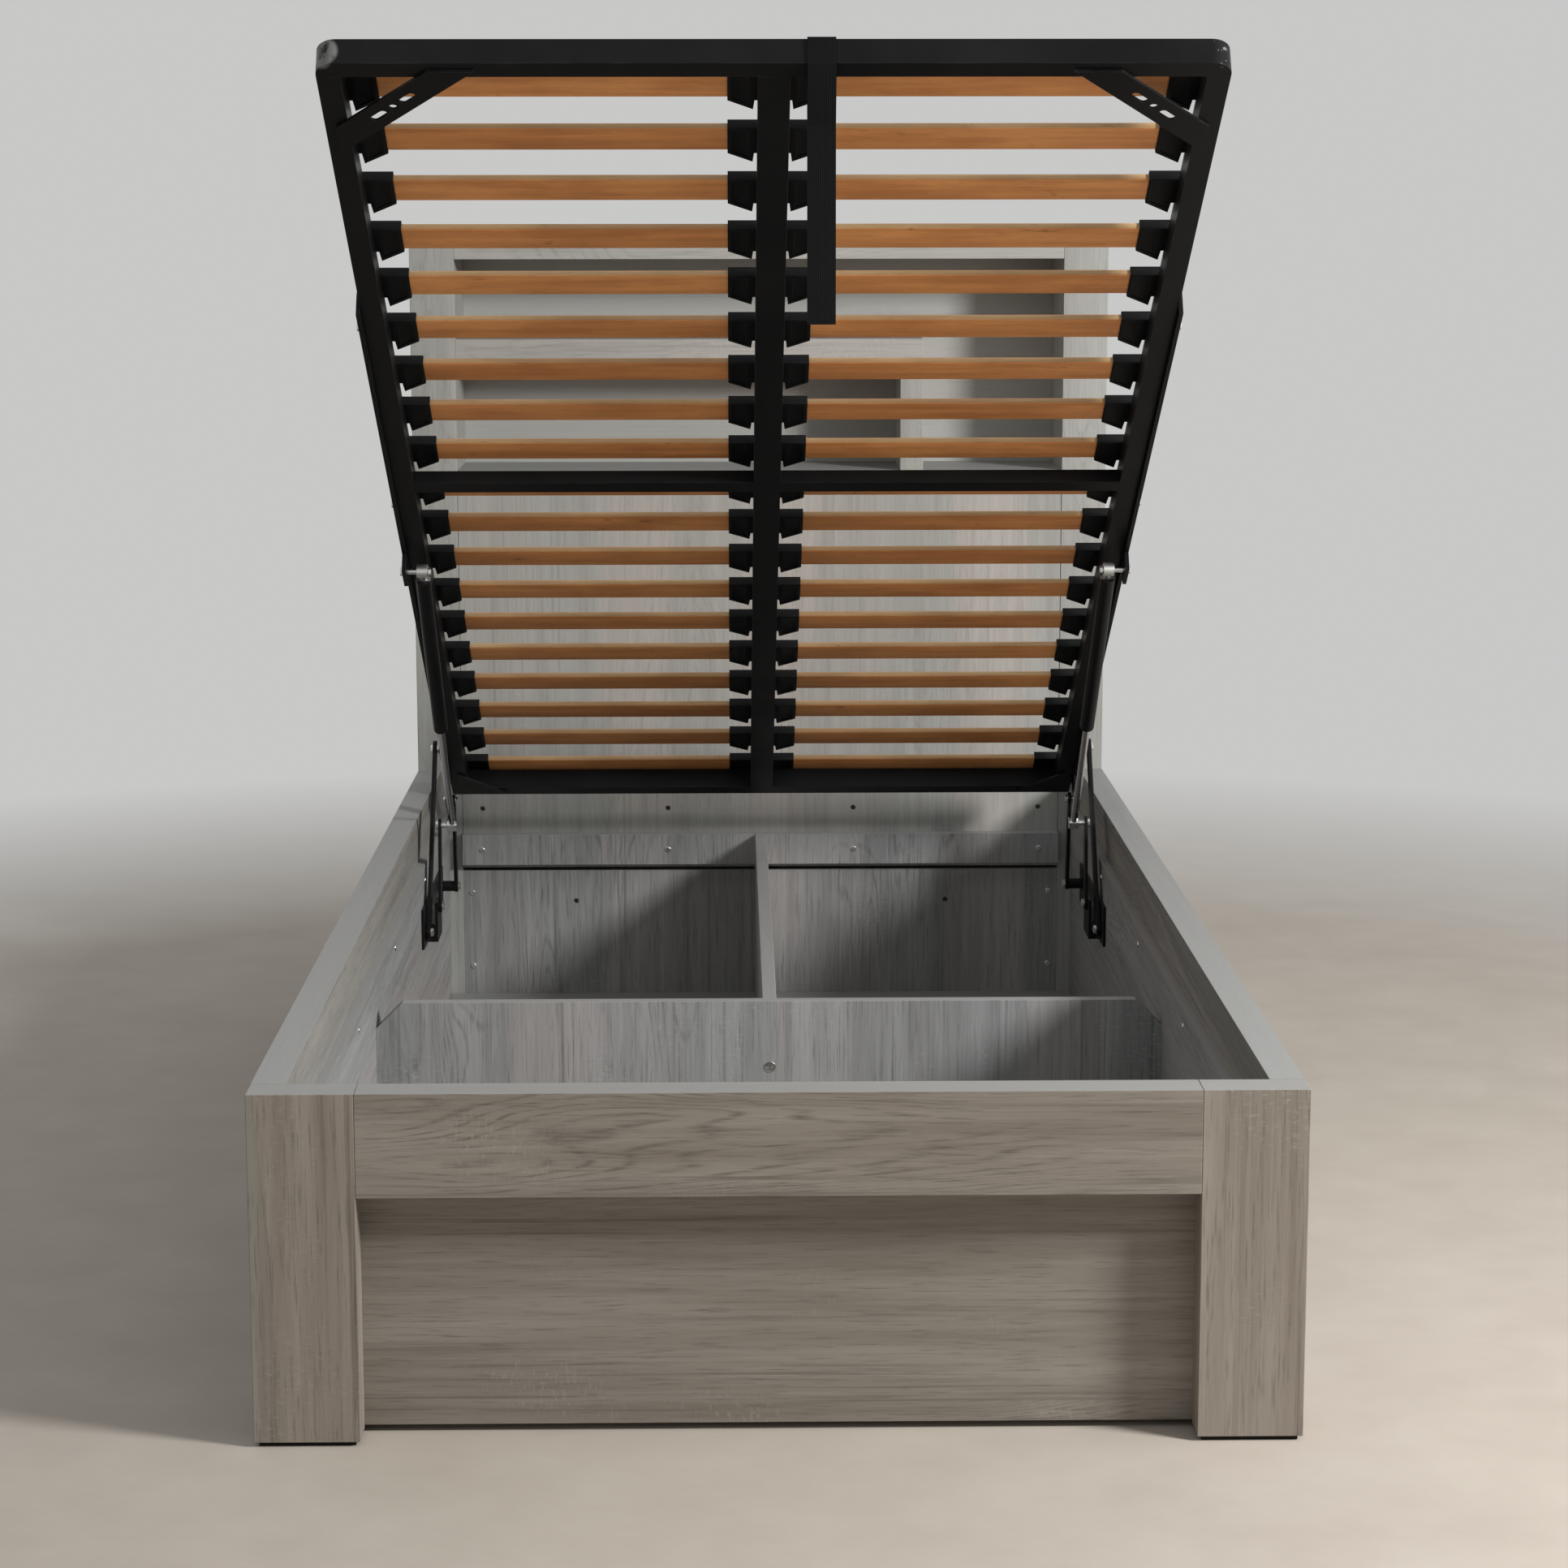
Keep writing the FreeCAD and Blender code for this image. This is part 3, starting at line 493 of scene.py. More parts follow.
for label, socket in (("Tone", tone), ("Line", line), ("Pore", wave["pore"]),
                      ("Fleck", fleck), ("Stave", stave)):
    oak_tree.links.new(socket, oak_out.inputs[label])
print("oak figure nodes:", len(oak_tree.nodes))

# %% [markdown]
# ### Rubbed edges and uneven gloss
#
# Paint and film wear first where edges stand out. The bevel node bends the
# normal only near an edge, so the angle between it and the true normal is a
# mask of edges. A second group gives cloudy gloss and fine grit for the
# roughness and the bump of paint, plastic and metal.

# %% Edge and gloss groups
EDGE_BEND = (0.995, 0.80)
RUB_WAVES, RUB_CUT = (26, 26, 26), (0.40, 0.62)
CLOUD_WAVES = (7, 7, 7)

edge_tree, edge_in, edge_out = new_group(
    "rubbed_edge", {"Width": (FLOAT, 2 * MM), "Vector": (VECTOR, None)},
    ("Edge",))
rounded = node_in(edge_tree, "ShaderNodeBevel", {"samples": 4})
edge_tree.links.new(edge_in.outputs["Width"], rounded.inputs["Radius"])
flat = node_in(edge_tree, "ShaderNodeNewGeometry")
compare = node_in(edge_tree, "ShaderNodeVectorMath",
                  {"operation": "DOT_PRODUCT"})
edge_tree.links.new(rounded.outputs[0], compare.inputs[0])
edge_tree.links.new(flat.outputs["Normal"], compare.inputs[1])
edge_raw = band(edge_tree, compare.outputs["Value"], *EDGE_BEND)
rub = band(edge_tree,
           noise(edge_tree, edge_in.outputs["Vector"], RUB_WAVES, 4, 0.6),
           *RUB_CUT)
edge_tree.links.new(times(edge_tree, edge_raw, rub), edge_out.inputs["Edge"])

gloss_tree, gloss_in, gloss_out = new_group(
    "uneven_gloss",
    {"Vector": (VECTOR, None), "Grit": (FLOAT, 900.0)}, ("Cloud", "Grit"))
gloss_vector = gloss_in.outputs["Vector"]
cloud = noise(gloss_tree, gloss_vector, CLOUD_WAVES, 5, 0.62)
grit = node_in(gloss_tree, "ShaderNodeTexNoise", Detail=2.0)
gloss_tree.links.new(gloss_vector, grit.inputs["Vector"])
gloss_tree.links.new(gloss_in.outputs["Grit"], grit.inputs["Scale"])
gloss_tree.links.new(cloud, gloss_out.inputs["Cloud"])
gloss_tree.links.new(grit.outputs["Fac"], gloss_out.inputs["Grit"])
print("groups:", [g.name for g in bpy.data.node_groups])

# %% [markdown]
# ## Finishes
#
# A finish starts as one Principled shader. Most of them read object
# coordinates, place the groups above, and mix colours by their masks. The
# helpers below do the steps that the finishes share.

# %% Helpers for finishes
def new_finish(name):
    """An empty material with a Principled shader and its output."""
    finish = bpy.data.materials.new(name)
    finish.use_nodes = True
    tree = finish.node_tree
    tree.nodes.clear()
    shader = tree.nodes.new("ShaderNodeBsdfPrincipled")
    out = tree.nodes.new("ShaderNodeOutputMaterial")
    tree.links.new(shader.outputs[0], out.inputs["Surface"])
    return finish, tree, shader


def node_of(tree, kind):
    return next(n for n in tree.nodes if n.type == kind)


def object_vector(tree, kind="POINT", **place):
    """Object coordinates, moved, turned or scaled by a Mapping node."""
    spot = tree.nodes.new("ShaderNodeTexCoord")
    mapping = node_in(tree, "ShaderNodeMapping", {"vector_type": kind},
                      **place)
    tree.links.new(spot.outputs["Object"], mapping.inputs["Vector"])
    return mapping.outputs[0]


def grouped(tree, name, vector, **inputs):
    """A placed node group that reads a vector."""
    made = node_in(tree, "ShaderNodeGroup",
                   {"node_tree": bpy.data.node_groups[name]}, **inputs)
    tree.links.new(vector, made.inputs["Vector"])
    return made.outputs


def mixed(tree, share, first, second, blend="MIX"):
    """Two colours mixed by a mask; each may be a socket or a colour."""
    made = node_in(tree, "ShaderNodeMix",
                   {"data_type": "RGBA", "blend_type": blend})
    feed(tree, made.inputs["Factor"], share)
    feed(tree, made.inputs[6], first)
    feed(tree, made.inputs[7], second)
    return made.outputs[2]


def layered(tree, colour, layers):
    """Colours laid over each other: a mask, its strength and its colour."""
    for mask, strength, tint in layers:
        colour = mixed(tree, times(tree, mask, strength), colour, tint)
    return colour


def shade(colour, level):
    return tuple(min(1.0, level * c) for c in colour)


def bumped(tree, shader, height, strength, deep):
    bump = node_in(tree, "ShaderNodeBump", Strength=strength, Distance=deep)
    tree.links.new(height, bump.inputs["Height"])
    tree.links.new(bump.outputs[0], shader.inputs["Normal"])


print("finish helpers ready")

# %% [markdown]
# ### Board finish
#
# The same film covers every board, but the outside reads warm grey-brown and
# the inside a cooler grey. One function writes the finish: the grain's
# direction is a turn of the object coordinates, and a shift keeps two boards
# from showing the same stretch of the print. Whatever faces up is painted
# paler: partly the plain tone of the edge band on the tops of the rails, and
# partly painted light from above.

# %% Board finish
GRAIN_TURN = {
    "x": (0, 0, 0),
    "y": (0, 0, math.radians(-90)),
    "z": (0, math.radians(90), 0),
}
PRINT_STEP = (3.1, 1.7, 2.3)
TONE_SPREAD = 0.55
STAVE_COOL, STAVE_WARM = (0.97, 1.0, 1.0), (1.04, 0.99, 0.97)
DEEP_LEVEL, PALE_LEVEL = 0.52, 1.22
LINE_SHARE, PORE_SHARE, FLECK_SHARE, EDGE_SHARE = 0.7, 0.5, 0.38, 0.45
BOARD_EDGE = 1.6 * MM
# Up-facing faces get a paler tone: partly edge band, partly painted light from
# above.
EDGE_BAND_AND_TOP_LIGHT, TOP_LIGHT_CUT = (0.325, 0.325, 0.315), (0.7, 0.9, 0, 0.85)
FILM_GLOSS = (0.62, 0.50)


def board_finish(name, axis, dark, light, shift, contrast=0.5, marks=1.0):
    finish, tree, shader = new_finish(name)
    vector = object_vector(tree, Rotation=GRAIN_TURN[axis],
                           Location=[shift * step for step in PRINT_STEP])
    figure = grouped(tree, "oak_figure", vector)
    edge = grouped(tree, "rubbed_edge", vector, Width=BOARD_EDGE)["Edge"]
    reach = contrast * TONE_SPREAD / 2
    colour = mixed(tree, band(tree, figure["Tone"], 0.5 - reach, 0.5 + reach),
                   dark, light)
    hue = mixed(tree, figure["Stave"], STAVE_COOL, STAVE_WARM)
    colour = mixed(tree, 1.0, colour, hue, "MULTIPLY")
    deep, pale = shade(dark, DEEP_LEVEL), shade(light, PALE_LEVEL)
    colour = layered(tree, colour, (
        (figure["Line"], LINE_SHARE * marks, deep),
        (figure["Pore"], PORE_SHARE * marks, deep),
        (figure["Fleck"], FLECK_SHARE, pale),
        (edge, EDGE_SHARE, pale)))
    normal = node_in(tree, "ShaderNodeNewGeometry").outputs["Normal"]
    # Faces that point up are painted paler here: partly edge band, partly
    # painted light from above.
    top = band(tree, xyz(tree, normal)["Z"], *TOP_LIGHT_CUT)
    colour = mixed(tree, top, colour, EDGE_BAND_AND_TOP_LIGHT)
    tree.links.new(colour, shader.inputs["Base Color"])
    tree.links.new(band(tree, figure["Tone"], 0.3, 0.7, *FILM_GLOSS),
                   shader.inputs["Roughness"])
    height = sums(tree, "SUBTRACT", times(tree, figure["Tone"], 0.5),
                  figure["Pore"])
    bumped(tree, shader, height, 0.35, 0.15 * MM)
    shader.inputs["Specular IOR Level"].default_value = 0.38
    return finish


OUTSIDE = ((0.175, 0.148, 0.120), (0.300, 0.270, 0.232))
INSIDE = ((0.215, 0.212, 0.208), (0.375, 0.373, 0.368))
SIDE = ((0.195, 0.184, 0.168), (0.345, 0.330, 0.305))
HEADBOARD = ((0.315, 0.306, 0.282), (0.435, 0.427, 0.40))
THIN = ((0.27, 0.25, 0.235), (0.36, 0.335, 0.315))
# The headboard's back board, seen in the niche, is paler than the thin boards:
# partly its own pale board, partly painted light falling into the niche.
BACK_AND_NICHE_LIGHT = ((0.40, 0.39, 0.365), (0.47, 0.46, 0.435))
PRINT_SHIFT = {"x": 1, "y": 2, "z": 3}
oak = {
    (kind, axis): board_finish(f"{kind}_oak_{axis}", axis, *pair,
                               PRINT_SHIFT[axis], marks=marks)
    for kind, axes, pair, marks in (
        ("outside", "xz", OUTSIDE, 1), ("inside", "yz", INSIDE, 1),
        ("headboard", "xz", HEADBOARD, 0.45), ("side", "y", SIDE, 1))
    for axis in axes
}
oak["thin", "x"] = board_finish("thin_board", "x", *THIN, 7, contrast=0.8)
# Niche back: partly its own pale board, partly painted light in the niche.
oak["back", "x"] = board_finish("back_board", "x", *BACK_AND_NICHE_LIGHT, 11, contrast=0.8,
                                marks=0.25)
print("board finishes:", len(oak))

# %% [markdown]
# ### Steel, plastic and metal
#
# The tubes and links are powder-coated black steel: a dark satin with an
# orange-peel surface, rubbed grey on the corners. The slat holders are
# moulded plastic, duller and finer. Bolts are bright zinc and the strut's
# rod is polished chrome; both are metal, so their colour sits in the shine.

# %% Steel, plastic and metal finishes
COAT_EDGE, COAT_PEEL = 1.2 * MM, 0.2 * MM
METAL_GRIT, MARK_DEEP = 1200.0, 0.05 * MM


def coated(name, dark, light, worn, gloss, grit, bump, sheen, wear=0.7):
    """A dark satin coat that is rubbed on its edges."""
    finish, tree, shader = new_finish(name)
    vector = object_vector(tree)
    cloud = grouped(tree, "uneven_gloss", vector, Grit=grit)
    edge = grouped(tree, "rubbed_edge", vector, Width=COAT_EDGE)["Edge"]
    colour = mixed(tree, band(tree, cloud["Cloud"], 0.35, 0.65), dark, light)
    colour = layered(tree, colour, ((edge, wear, worn),))
    tree.links.new(colour, shader.inputs["Base Color"])
    tree.links.new(band(tree, cloud["Cloud"], 0.3, 0.7, *gloss),
                   shader.inputs["Roughness"])
    bumped(tree, shader, cloud["Grit"], bump, COAT_PEEL)
    shader.inputs["Specular IOR Level"].default_value = sheen
    return finish


def bright(name, colour, dull, gloss, stretch):
    """Bare metal with fine turning marks."""
    finish, tree, shader = new_finish(name)
    vector = object_vector(tree)
    cloud = grouped(tree, "uneven_gloss", vector, Grit=METAL_GRIT)
    marks = noise(tree, vector, stretch, 3, 0.6)
    tone = mixed(tree, band(tree, cloud["Cloud"], 0.35, 0.7), dull, colour)
    tree.links.new(tone, shader.inputs["Base Color"])
    tree.links.new(band(tree, marks, 0.3, 0.7, *gloss),
                   shader.inputs["Roughness"])
    bumped(tree, shader, marks, 0.15, MARK_DEEP)
    shader.inputs["Metallic"].default_value = 1
    return finish


steel = coated(
    "black_steel", dark=(0.0045, 0.0045, 0.005), light=(0.008, 0.008, 0.0085),
    worn=(0.06, 0.06, 0.06), gloss=(0.34, 0.50), grit=700.0, bump=0.25,
    sheen=0.16)
plastic = coated(
    "black_plastic", dark=(0.004, 0.004, 0.0045),
    light=(0.0075, 0.0075, 0.008), worn=(0.02, 0.02, 0.02),
    gloss=(0.42, 0.60), grit=1500.0, bump=0.2, sheen=0.18, wear=0.4)
zinc = bright("zinc", (0.88, 0.88, 0.86), (0.70, 0.70, 0.68), (0.20, 0.36),
              (900, 200, 200))
chrome = bright("chrome_rod", (0.72, 0.72, 0.74), (0.60, 0.60, 0.62),
                (0.08, 0.18), (60, 900, 900))
print("finishes:", len(bpy.data.materials))

# %% [markdown]
# ## Floor
#
# The floor only carries the shadow and a little bounced light. A plain pale
# colour would do; a faint cloudiness keeps it from looking like paper. Far
# from the bed it fades into the background, as a studio's curved wall does,
# so that no horizon cuts through the picture.

# %% Pale floor
FLOOR_WIDE, FADE_FROM, FADE_TO = 60, 1.7, 3.3
FLOOR_DARK, FLOOR_LIGHT = (0.47, 0.415, 0.355), (0.52, 0.465, 0.40)

floor = begin("studio_floor", bpy.ops.mesh.primitive_plane_add,
              size=FLOOR_WIDE)
edit(floor)
bpy.ops.mesh.subdivide(number_cuts=4)
done()
pale_floor, floor_tree, floor_shader = new_finish("pale_floor")
floor_place = object_vector(floor_tree)
floor_cloud = grouped(floor_tree, "uneven_gloss", floor_place)
floor_tree.links.new(
    mixed(floor_tree, band(floor_tree, floor_cloud["Cloud"], 0.3, 0.7),
          FLOOR_DARK, FLOOR_LIGHT),
    floor_shader.inputs["Base Color"])
floor_shader.inputs["Roughness"].default_value = 0.75
floor_shader.inputs["Specular IOR Level"].default_value = 0.15
floor_far = band(floor_tree, distance(floor_tree, floor_place, (0, 0, 0)),
                 FADE_FROM, FADE_TO)
floor_glow = node_in(floor_tree, "ShaderNodeEmission", Color=BACKGROUND)
mixed_surface(floor_tree, times(floor_tree, seen_rays(floor_tree), floor_far),
              floor_shader, floor_glow,
              node_of(floor_tree, "OUTPUT_MATERIAL"))
floor.data.materials.append(pale_floor)
print("floor faces:", len(floor.data.polygons))

# %% [markdown]
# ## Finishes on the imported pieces
#
# A board's grain follows its longest side, apart from the panels that stand
# with their grain upright. Pieces that need a finish of their own are listed
# by name. The rest of the headboard is upright, and for what remains the
# material slot decides.

# %% Which finish goes where
NAMED_FINISHES = (
    (oak["outside", "x"], ("front_rail", "front_panel")),
    (oak["headboard", "x"], ("headboard_top", "niche_floor", "niche_shelf",
                             "post_caps")),
    (oak["side", "y"], ("side_rail_left", "side_rail_right")),
    (oak["inside", "y"], ("side_panel_left", "side_panel_right",
                          "centre_divider")),
    (oak["inside", "z"], ("cross_divider", "rear_panel", "head_battens")),
    (oak["thin", "x"], ("floor_panel_front", "floor_panel_left",
                        "floor_panel_right")),
    (oak["back", "x"], ("headboard_back",)),
    (plastic, ("leg_pads",)),
    (chrome, ("strut_rod_left", "strut_rod_right")),
)
SLOT_FINISHES = {"oak_board": oak["outside", "z"], "zinc": zinc}
finish_of = {name: finish for finish, names in NAMED_FINISHES
             for name in names}
slot_of = {row["node"]: row["material_slot"]
           for row in frame["record"]["subparts"]}


def finish_for(name):
    if name in finish_of:
        return finish_of[name]
    if name.startswith(("headboard", "niche")):
        return oak["headboard", "z"]
    return SLOT_FINISHES.get(slot_of[name], steel)


print("pieces with a finish of their own:", len(finish_of))

# %% [markdown]
# ### Soft edges
#
# Sharp edges look like paper models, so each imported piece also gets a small
# live bevel: loose triangles are welded, flat ones are merged, and only true
# edges are rounded.

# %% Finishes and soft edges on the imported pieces
BOARD_SLOTS = ("oak_board", "grey_board", "thin_board")
BOARD_ROUND, METAL_ROUND = 1.0 * MM, 0.4 * MM
WELD_GAP, FLAT_ANGLE = 0.01 * MM, math.radians(0.5)
TRUE_EDGE = math.radians(40)


def soften(node, width):
    """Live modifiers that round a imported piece's true edges."""
    weld = node.modifiers.new("Weld", "WELD")
    weld.merge_threshold = WELD_GAP
    merge = node.modifiers.new("Merge", "DECIMATE")
    merge.decimate_type = "DISSOLVE"
    merge.angle_limit = FLAT_ANGLE
    bevel = node.modifiers.new("Bevel", "BEVEL")
    bevel.width = width
    bevel.segments = 2
    bevel.limit_method = "ANGLE"
    bevel.angle_limit = TRUE_EDGE
    bevel.use_clamp_overlap = True
    weighted = node.modifiers.new("Shade", "WEIGHTED_NORMAL")
    weighted.weight = 60


for name, node in nodes.items():
    if node.material_slots:
        node.material_slots[0].material = finish_for(name)
    else:
        node.data.materials.append(finish_for(name))
    soften(node, BOARD_ROUND if slot_of[name] in BOARD_SLOTS else METAL_ROUND)
print("finished pieces:", len(nodes))

# %% [markdown]
# ## Bright ends of the struts
#
# A gas strut is a black cylinder with a zinc fitting screwed on its end. The
# cylinder and its fitting are one solid here, so the finish changes along
# it: everything within a finger's breadth of the pin's axis is bright metal.
# The pin lies along X, so X is flattened before the distance is taken.

# %% Strut finish
PIN_REACH, PIN_IN, PIN_BLUR = 16 * MM, 9 * MM, 0.5 * MM
FITTING = (0.74, 0.74, 0.72)


def recoated(base, name):
    """A copy of a finish, with its tree, shader and present colour."""
    finish = base.copy()
    finish.name = name
    tree = finish.node_tree
    shader = node_of(tree, "BSDF_PRINCIPLED")
    colour = shader.inputs["Base Color"].links[0].from_socket
    return finish, tree, shader, colour


strut_low, strut_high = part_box("strut_cylinder_left")
strut_finish, strut_tree, strut_shader, strut_black = recoated(
    steel, "strut_steel")
from_pin = distance(strut_tree, object_vector(strut_tree, Scale=(0, 1, 1)),
                    (0, strut_low.y + PIN_IN, strut_high.z - PIN_IN))
fitting = band(strut_tree, from_pin, PIN_REACH + PIN_BLUR, PIN_REACH)
strut_tree.links.new(mixed(strut_tree, fitting, strut_black, FITTING),
                     strut_shader.inputs["Base Color"])
strut_tree.links.new(fitting, strut_shader.inputs["Metallic"])
for side in ("left", "right"):
    nodes[f"strut_cylinder_{side}"].material_slots[0].material = strut_finish
print("strut box:", strut_low, strut_high)

# %% [markdown]
# ## Place of the platform
#
# The platform is tilted, so its pieces are easier to model flat: X across
# the bed, Y from the head towards the foot as a negative length, Z up out of
# the slats. One matrix then tips each finished piece into the open pose.

# %% Platform's own frame
TILT = math.radians(32.25)
HEAD_POINT = Vector((0, 752.5, 366)) * MM
PLATFORM = Matrix.Translation(HEAD_POINT) @ Matrix.Rotation(-TILT, 4, "X")
FRAME_LONG, TUBE_HIGH = 1956 * MM, 30 * MM


def in_platform(tree):
    """Object coordinates turned back into the platform's own frame."""
    return object_vector(tree, "TEXTURE", Location=HEAD_POINT,
                         Rotation=(-TILT, 0, 0))


print("tilt:", round(math.degrees(TILT), 1), "degrees")

# %% [markdown]
# ## Worn corners of the foot tube
#
# The platform has been stood on its foot end: the paint is rubbed grey on
# one corner and chipped on the other. The whole tube keeps the black coat.
# Two soft balls around the corners, broken up by noise, decide where the
# bare grey shows through.

# %% Worn foot tube
CORNER_X, CORNER_REACH, CORNER_CORE = 468 * MM, 19 * MM, 0.8
RUBBED, CHIPPED = (70, 0.30, 0.46), (120, 0.60, 0.66)
BARE_GREY, BARE_SHARE = (0.24, 0.24, 0.235), 0.8


def worn_corner(tree, vector, side, speck, low, high):
    """A broken patch around one end of the foot tube."""
    away = distance(tree, vector,
                    (side * CORNER_X, -FRAME_LONG, TUBE_HIGH / 2))
    ball = band(tree, away, CORNER_REACH, CORNER_REACH * CORNER_CORE)
    broken = band(tree, noise(tree, vector, (speck, speck, speck), 4, 0.6),
                  low, high)
    return times(tree, ball, broken)


foot_finish, foot_tree, foot_shader, foot_black = recoated(
    steel, "worn_steel")
foot_place = in_platform(foot_tree)
foot_worn = sums(foot_tree, "MAXIMUM",
                 worn_corner(foot_tree, foot_place, -1, *RUBBED),
                 worn_corner(foot_tree, foot_place, 1, *CHIPPED))
foot_tree.links.new(
    layered(foot_tree, foot_black, ((foot_worn, BARE_SHARE, BARE_GREY),)),
    foot_shader.inputs["Base Color"])
nodes["foot_tube"].material_slots[0].material = foot_finish
print("worn finish:", foot_finish.name)

# %% [markdown]
# ## Slat finish
#
# A slat is a strip of bent beech ply under orange lacquer, each from a
# different log. The row number of a slat is its place divided by the pitch,
# rounded down, so white noise on that number gives every slat its own tone
# and its own stretch of grain. The long edges show paler ply layers.

# %% Slat finish: one number for each slat
SLAT_STEP = 101.7 * MM
ROW_SHIFT, GRAIN_JUMP = 2.0, 5.0


def slat_number(tree, vector):
    """White noise that is the same all over one slat."""
    place = xyz(tree, vector)
    label = node_in(tree, "ShaderNodeCombineXYZ")
    from_foot = sums(tree, "ADD", place["Y"], ROW_SHIFT)
    tree.links.new(
        sums(tree, "FLOOR", sums(tree, "DIVIDE", from_foot, SLAT_STEP)),
        label.inputs["X"])
    tree.links.new(sums(tree, "GREATER_THAN", place["X"], 0),
                   label.inputs["Y"])
    pick = node_in(tree, "ShaderNodeTexWhiteNoise",
                   {"noise_dimensions": "2D"})
    tree.links.new(label.outputs[0], pick.inputs["Vector"])
    return pick.outputs


def own_stretch(tree, vector, number):
    """The vector moved to a stretch of grain that only one slat has."""
    jump = node_in(tree, "ShaderNodeVectorMath", {"operation": "SCALE"},
                   Scale=GRAIN_JUMP)
    tree.links.new(number["Color"], jump.inputs[0])
    shifted = node_in(tree, "ShaderNodeVectorMath", {"operation": "ADD"})
    tree.links.new(vector, shifted.inputs[0])
    tree.links.new(jump.outputs[0], shifted.inputs[1])
    return shifted.outputs[0]


print("slat pitch:", SLAT_STEP)

# %% [markdown]
# ### Beech under lacquer
#
# Streaks and blotches make the tone, fine fibres and a few knots darken it.
# The numbers in the two tables mean what they mean for oak.

# %% Slat finish: colour and gloss
SLAT_WAVES = {
    "streak": (4, 70, 4, 0.6, 0.3),
    "blotch": (9, 22, 3, 0.55),
    "fibre": (45, 700, 2, 0.6),
    "knot": (16, 50, 3, 0.6, 0.5),
}
SLAT_CUTS = {"fibre": (0.55, 0.75), "knot": (0.68, 0.76)}
STREAK_PART, BLOTCH_PART, BROWN_LEVEL = 0.55, 0.45, 0.45
FIBRE_SHARE, KNOT_SHARE = 0.35, 0.7
PLY_CUT = (0.6, 1.0, 0, 0.35)
DARKEST_SLAT, PALEST_SLAT = (0.84, 0.80, 0.76), (1.0, 1.0, 1.0)
LACQUER_GLOSS = (0.50, 0.66)


def slat_finish(name, dark, light, layers):
    finish, tree, shader = new_finish(name)
    vector = in_platform(tree)
    number = slat_number(tree, vector)
    own = own_stretch(tree, vector, number)
    figure = grain_waves(tree, own, SLAT_WAVES, SLAT_CUTS)
    tone = sums(tree, "ADD", times(tree, figure["streak"], STREAK_PART),
                times(tree, figure["blotch"], BLOTCH_PART))
    colour = mixed(tree, band(tree, tone, 0.40, 0.60), dark, light)
    brown = shade(dark, BROWN_LEVEL)
    colour = layered(tree, colour, ((figure["fibre"], FIBRE_SHARE, brown),
                                    (figure["knot"], KNOT_SHARE, brown)))
    if layers:
        ply = node_in(tree, "ShaderNodeTexWave", {"bands_direction": "Z"},
                      Scale=layers, Distortion=0.6)
        tree.links.new(own, ply.inputs["Vector"])
        colour = mixed(tree, band(tree, ply.outputs["Fac"], *PLY_CUT),
                       colour, brown)
    tint = mixed(tree, band(tree, number["Value"], 0, 1), DARKEST_SLAT,
                 PALEST_SLAT)
    colour = mixed(tree, 1.0, colour, tint, "MULTIPLY")
    tree.links.new(colour, shader.inputs["Base Color"])
    tree.links.new(band(tree, figure["blotch"], 0.3, 0.7, *LACQUER_GLOSS),
                   shader.inputs["Roughness"])
    height = sums(tree, "ADD", figure["streak"], figure["fibre"])
    bumped(tree, shader, height, 0.2, 0.15 * MM)
    shader.inputs["Coat Weight"].default_value = 0.15
    shader.inputs["Coat Roughness"].default_value = 0.5
    return finish


slat_face = slat_finish("slat_face", (0.68, 0.268, 0.080),
                        (0.92, 0.405, 0.136), 0)
slat_edge = slat_finish("slat_edge", (0.55, 0.33, 0.15),
                        (0.74, 0.48, 0.24), 130.0)
print("slat finishes:", slat_face.name, slat_edge.name)

# %% [markdown]
# ## Slats
#
# Thirty-eight sprung slats lie in two columns. One slat is a bar whose long
# edges are rounded over with a bevel; its narrow sides take the paler ply
# finish. An array repeats it up the column, and a second array fills the
# other side, so every slat ends up with its own faces in one mesh.

# %% Slats
SLAT_COUNT, SLAT_FIRST = 19, 68 * MM
SLAT_WIDE, SLAT_THICK, SLAT_ROUND = 42 * MM, 8 * MM, 2.2 * MM
SLAT_IN, SLAT_OUT = 22 * MM, 445 * MM
SLAT_LOW = TUBE_HIGH + 2 * MM
FIRST_EDGE = -FRAME_LONG + SLAT_FIRST
PLY_FACING = 0.75


def long_edge(edge):
    a, b = edge.verts
    return near(a.co.y, b.co.y) and near(a.co.z, b.co.z)


slats = box_between("beech_slats", (SLAT_IN, FIRST_EDGE, SLAT_LOW),
                    (SLAT_OUT, FIRST_EDGE + SLAT_WIDE, SLAT_LOW + SLAT_THICK))
edit(slats)
eased(slats, long_edge, SLAT_ROUND, 3)
done()
slats.data.materials.append(slat_face)
slats.data.materials.append(slat_edge)
for face in slats.data.polygons:
    if max(abs(face.normal.x), abs(face.normal.y)) > PLY_FACING:
        face.material_index = 1
repeated(slats, SLAT_COUNT, (0, SLAT_STEP, 0))
repeated(slats, 2, (-SLAT_IN - SLAT_OUT, 0, 0))
smooth(slats, 35)
apply_place(slats, PLATFORM)
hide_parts("slats")
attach(slats, "platform")
print("slats:", 2 * SLAT_COUNT, "faces:", len(slats.data.polygons))

# %% [markdown]
# ## Slat holders
#
# Each slat end sits in a moulded pocket that clips on the tube. It could be
# a plain block, but from below the mould shows: a wing that slants out
# towards the head and stops short of the tube, a rimmed mouth and a shallow
# framed recess. Two cuts mark the wing's end, the mouth is inset and pushed
# in for the pocket, and the free top and underside are framed.

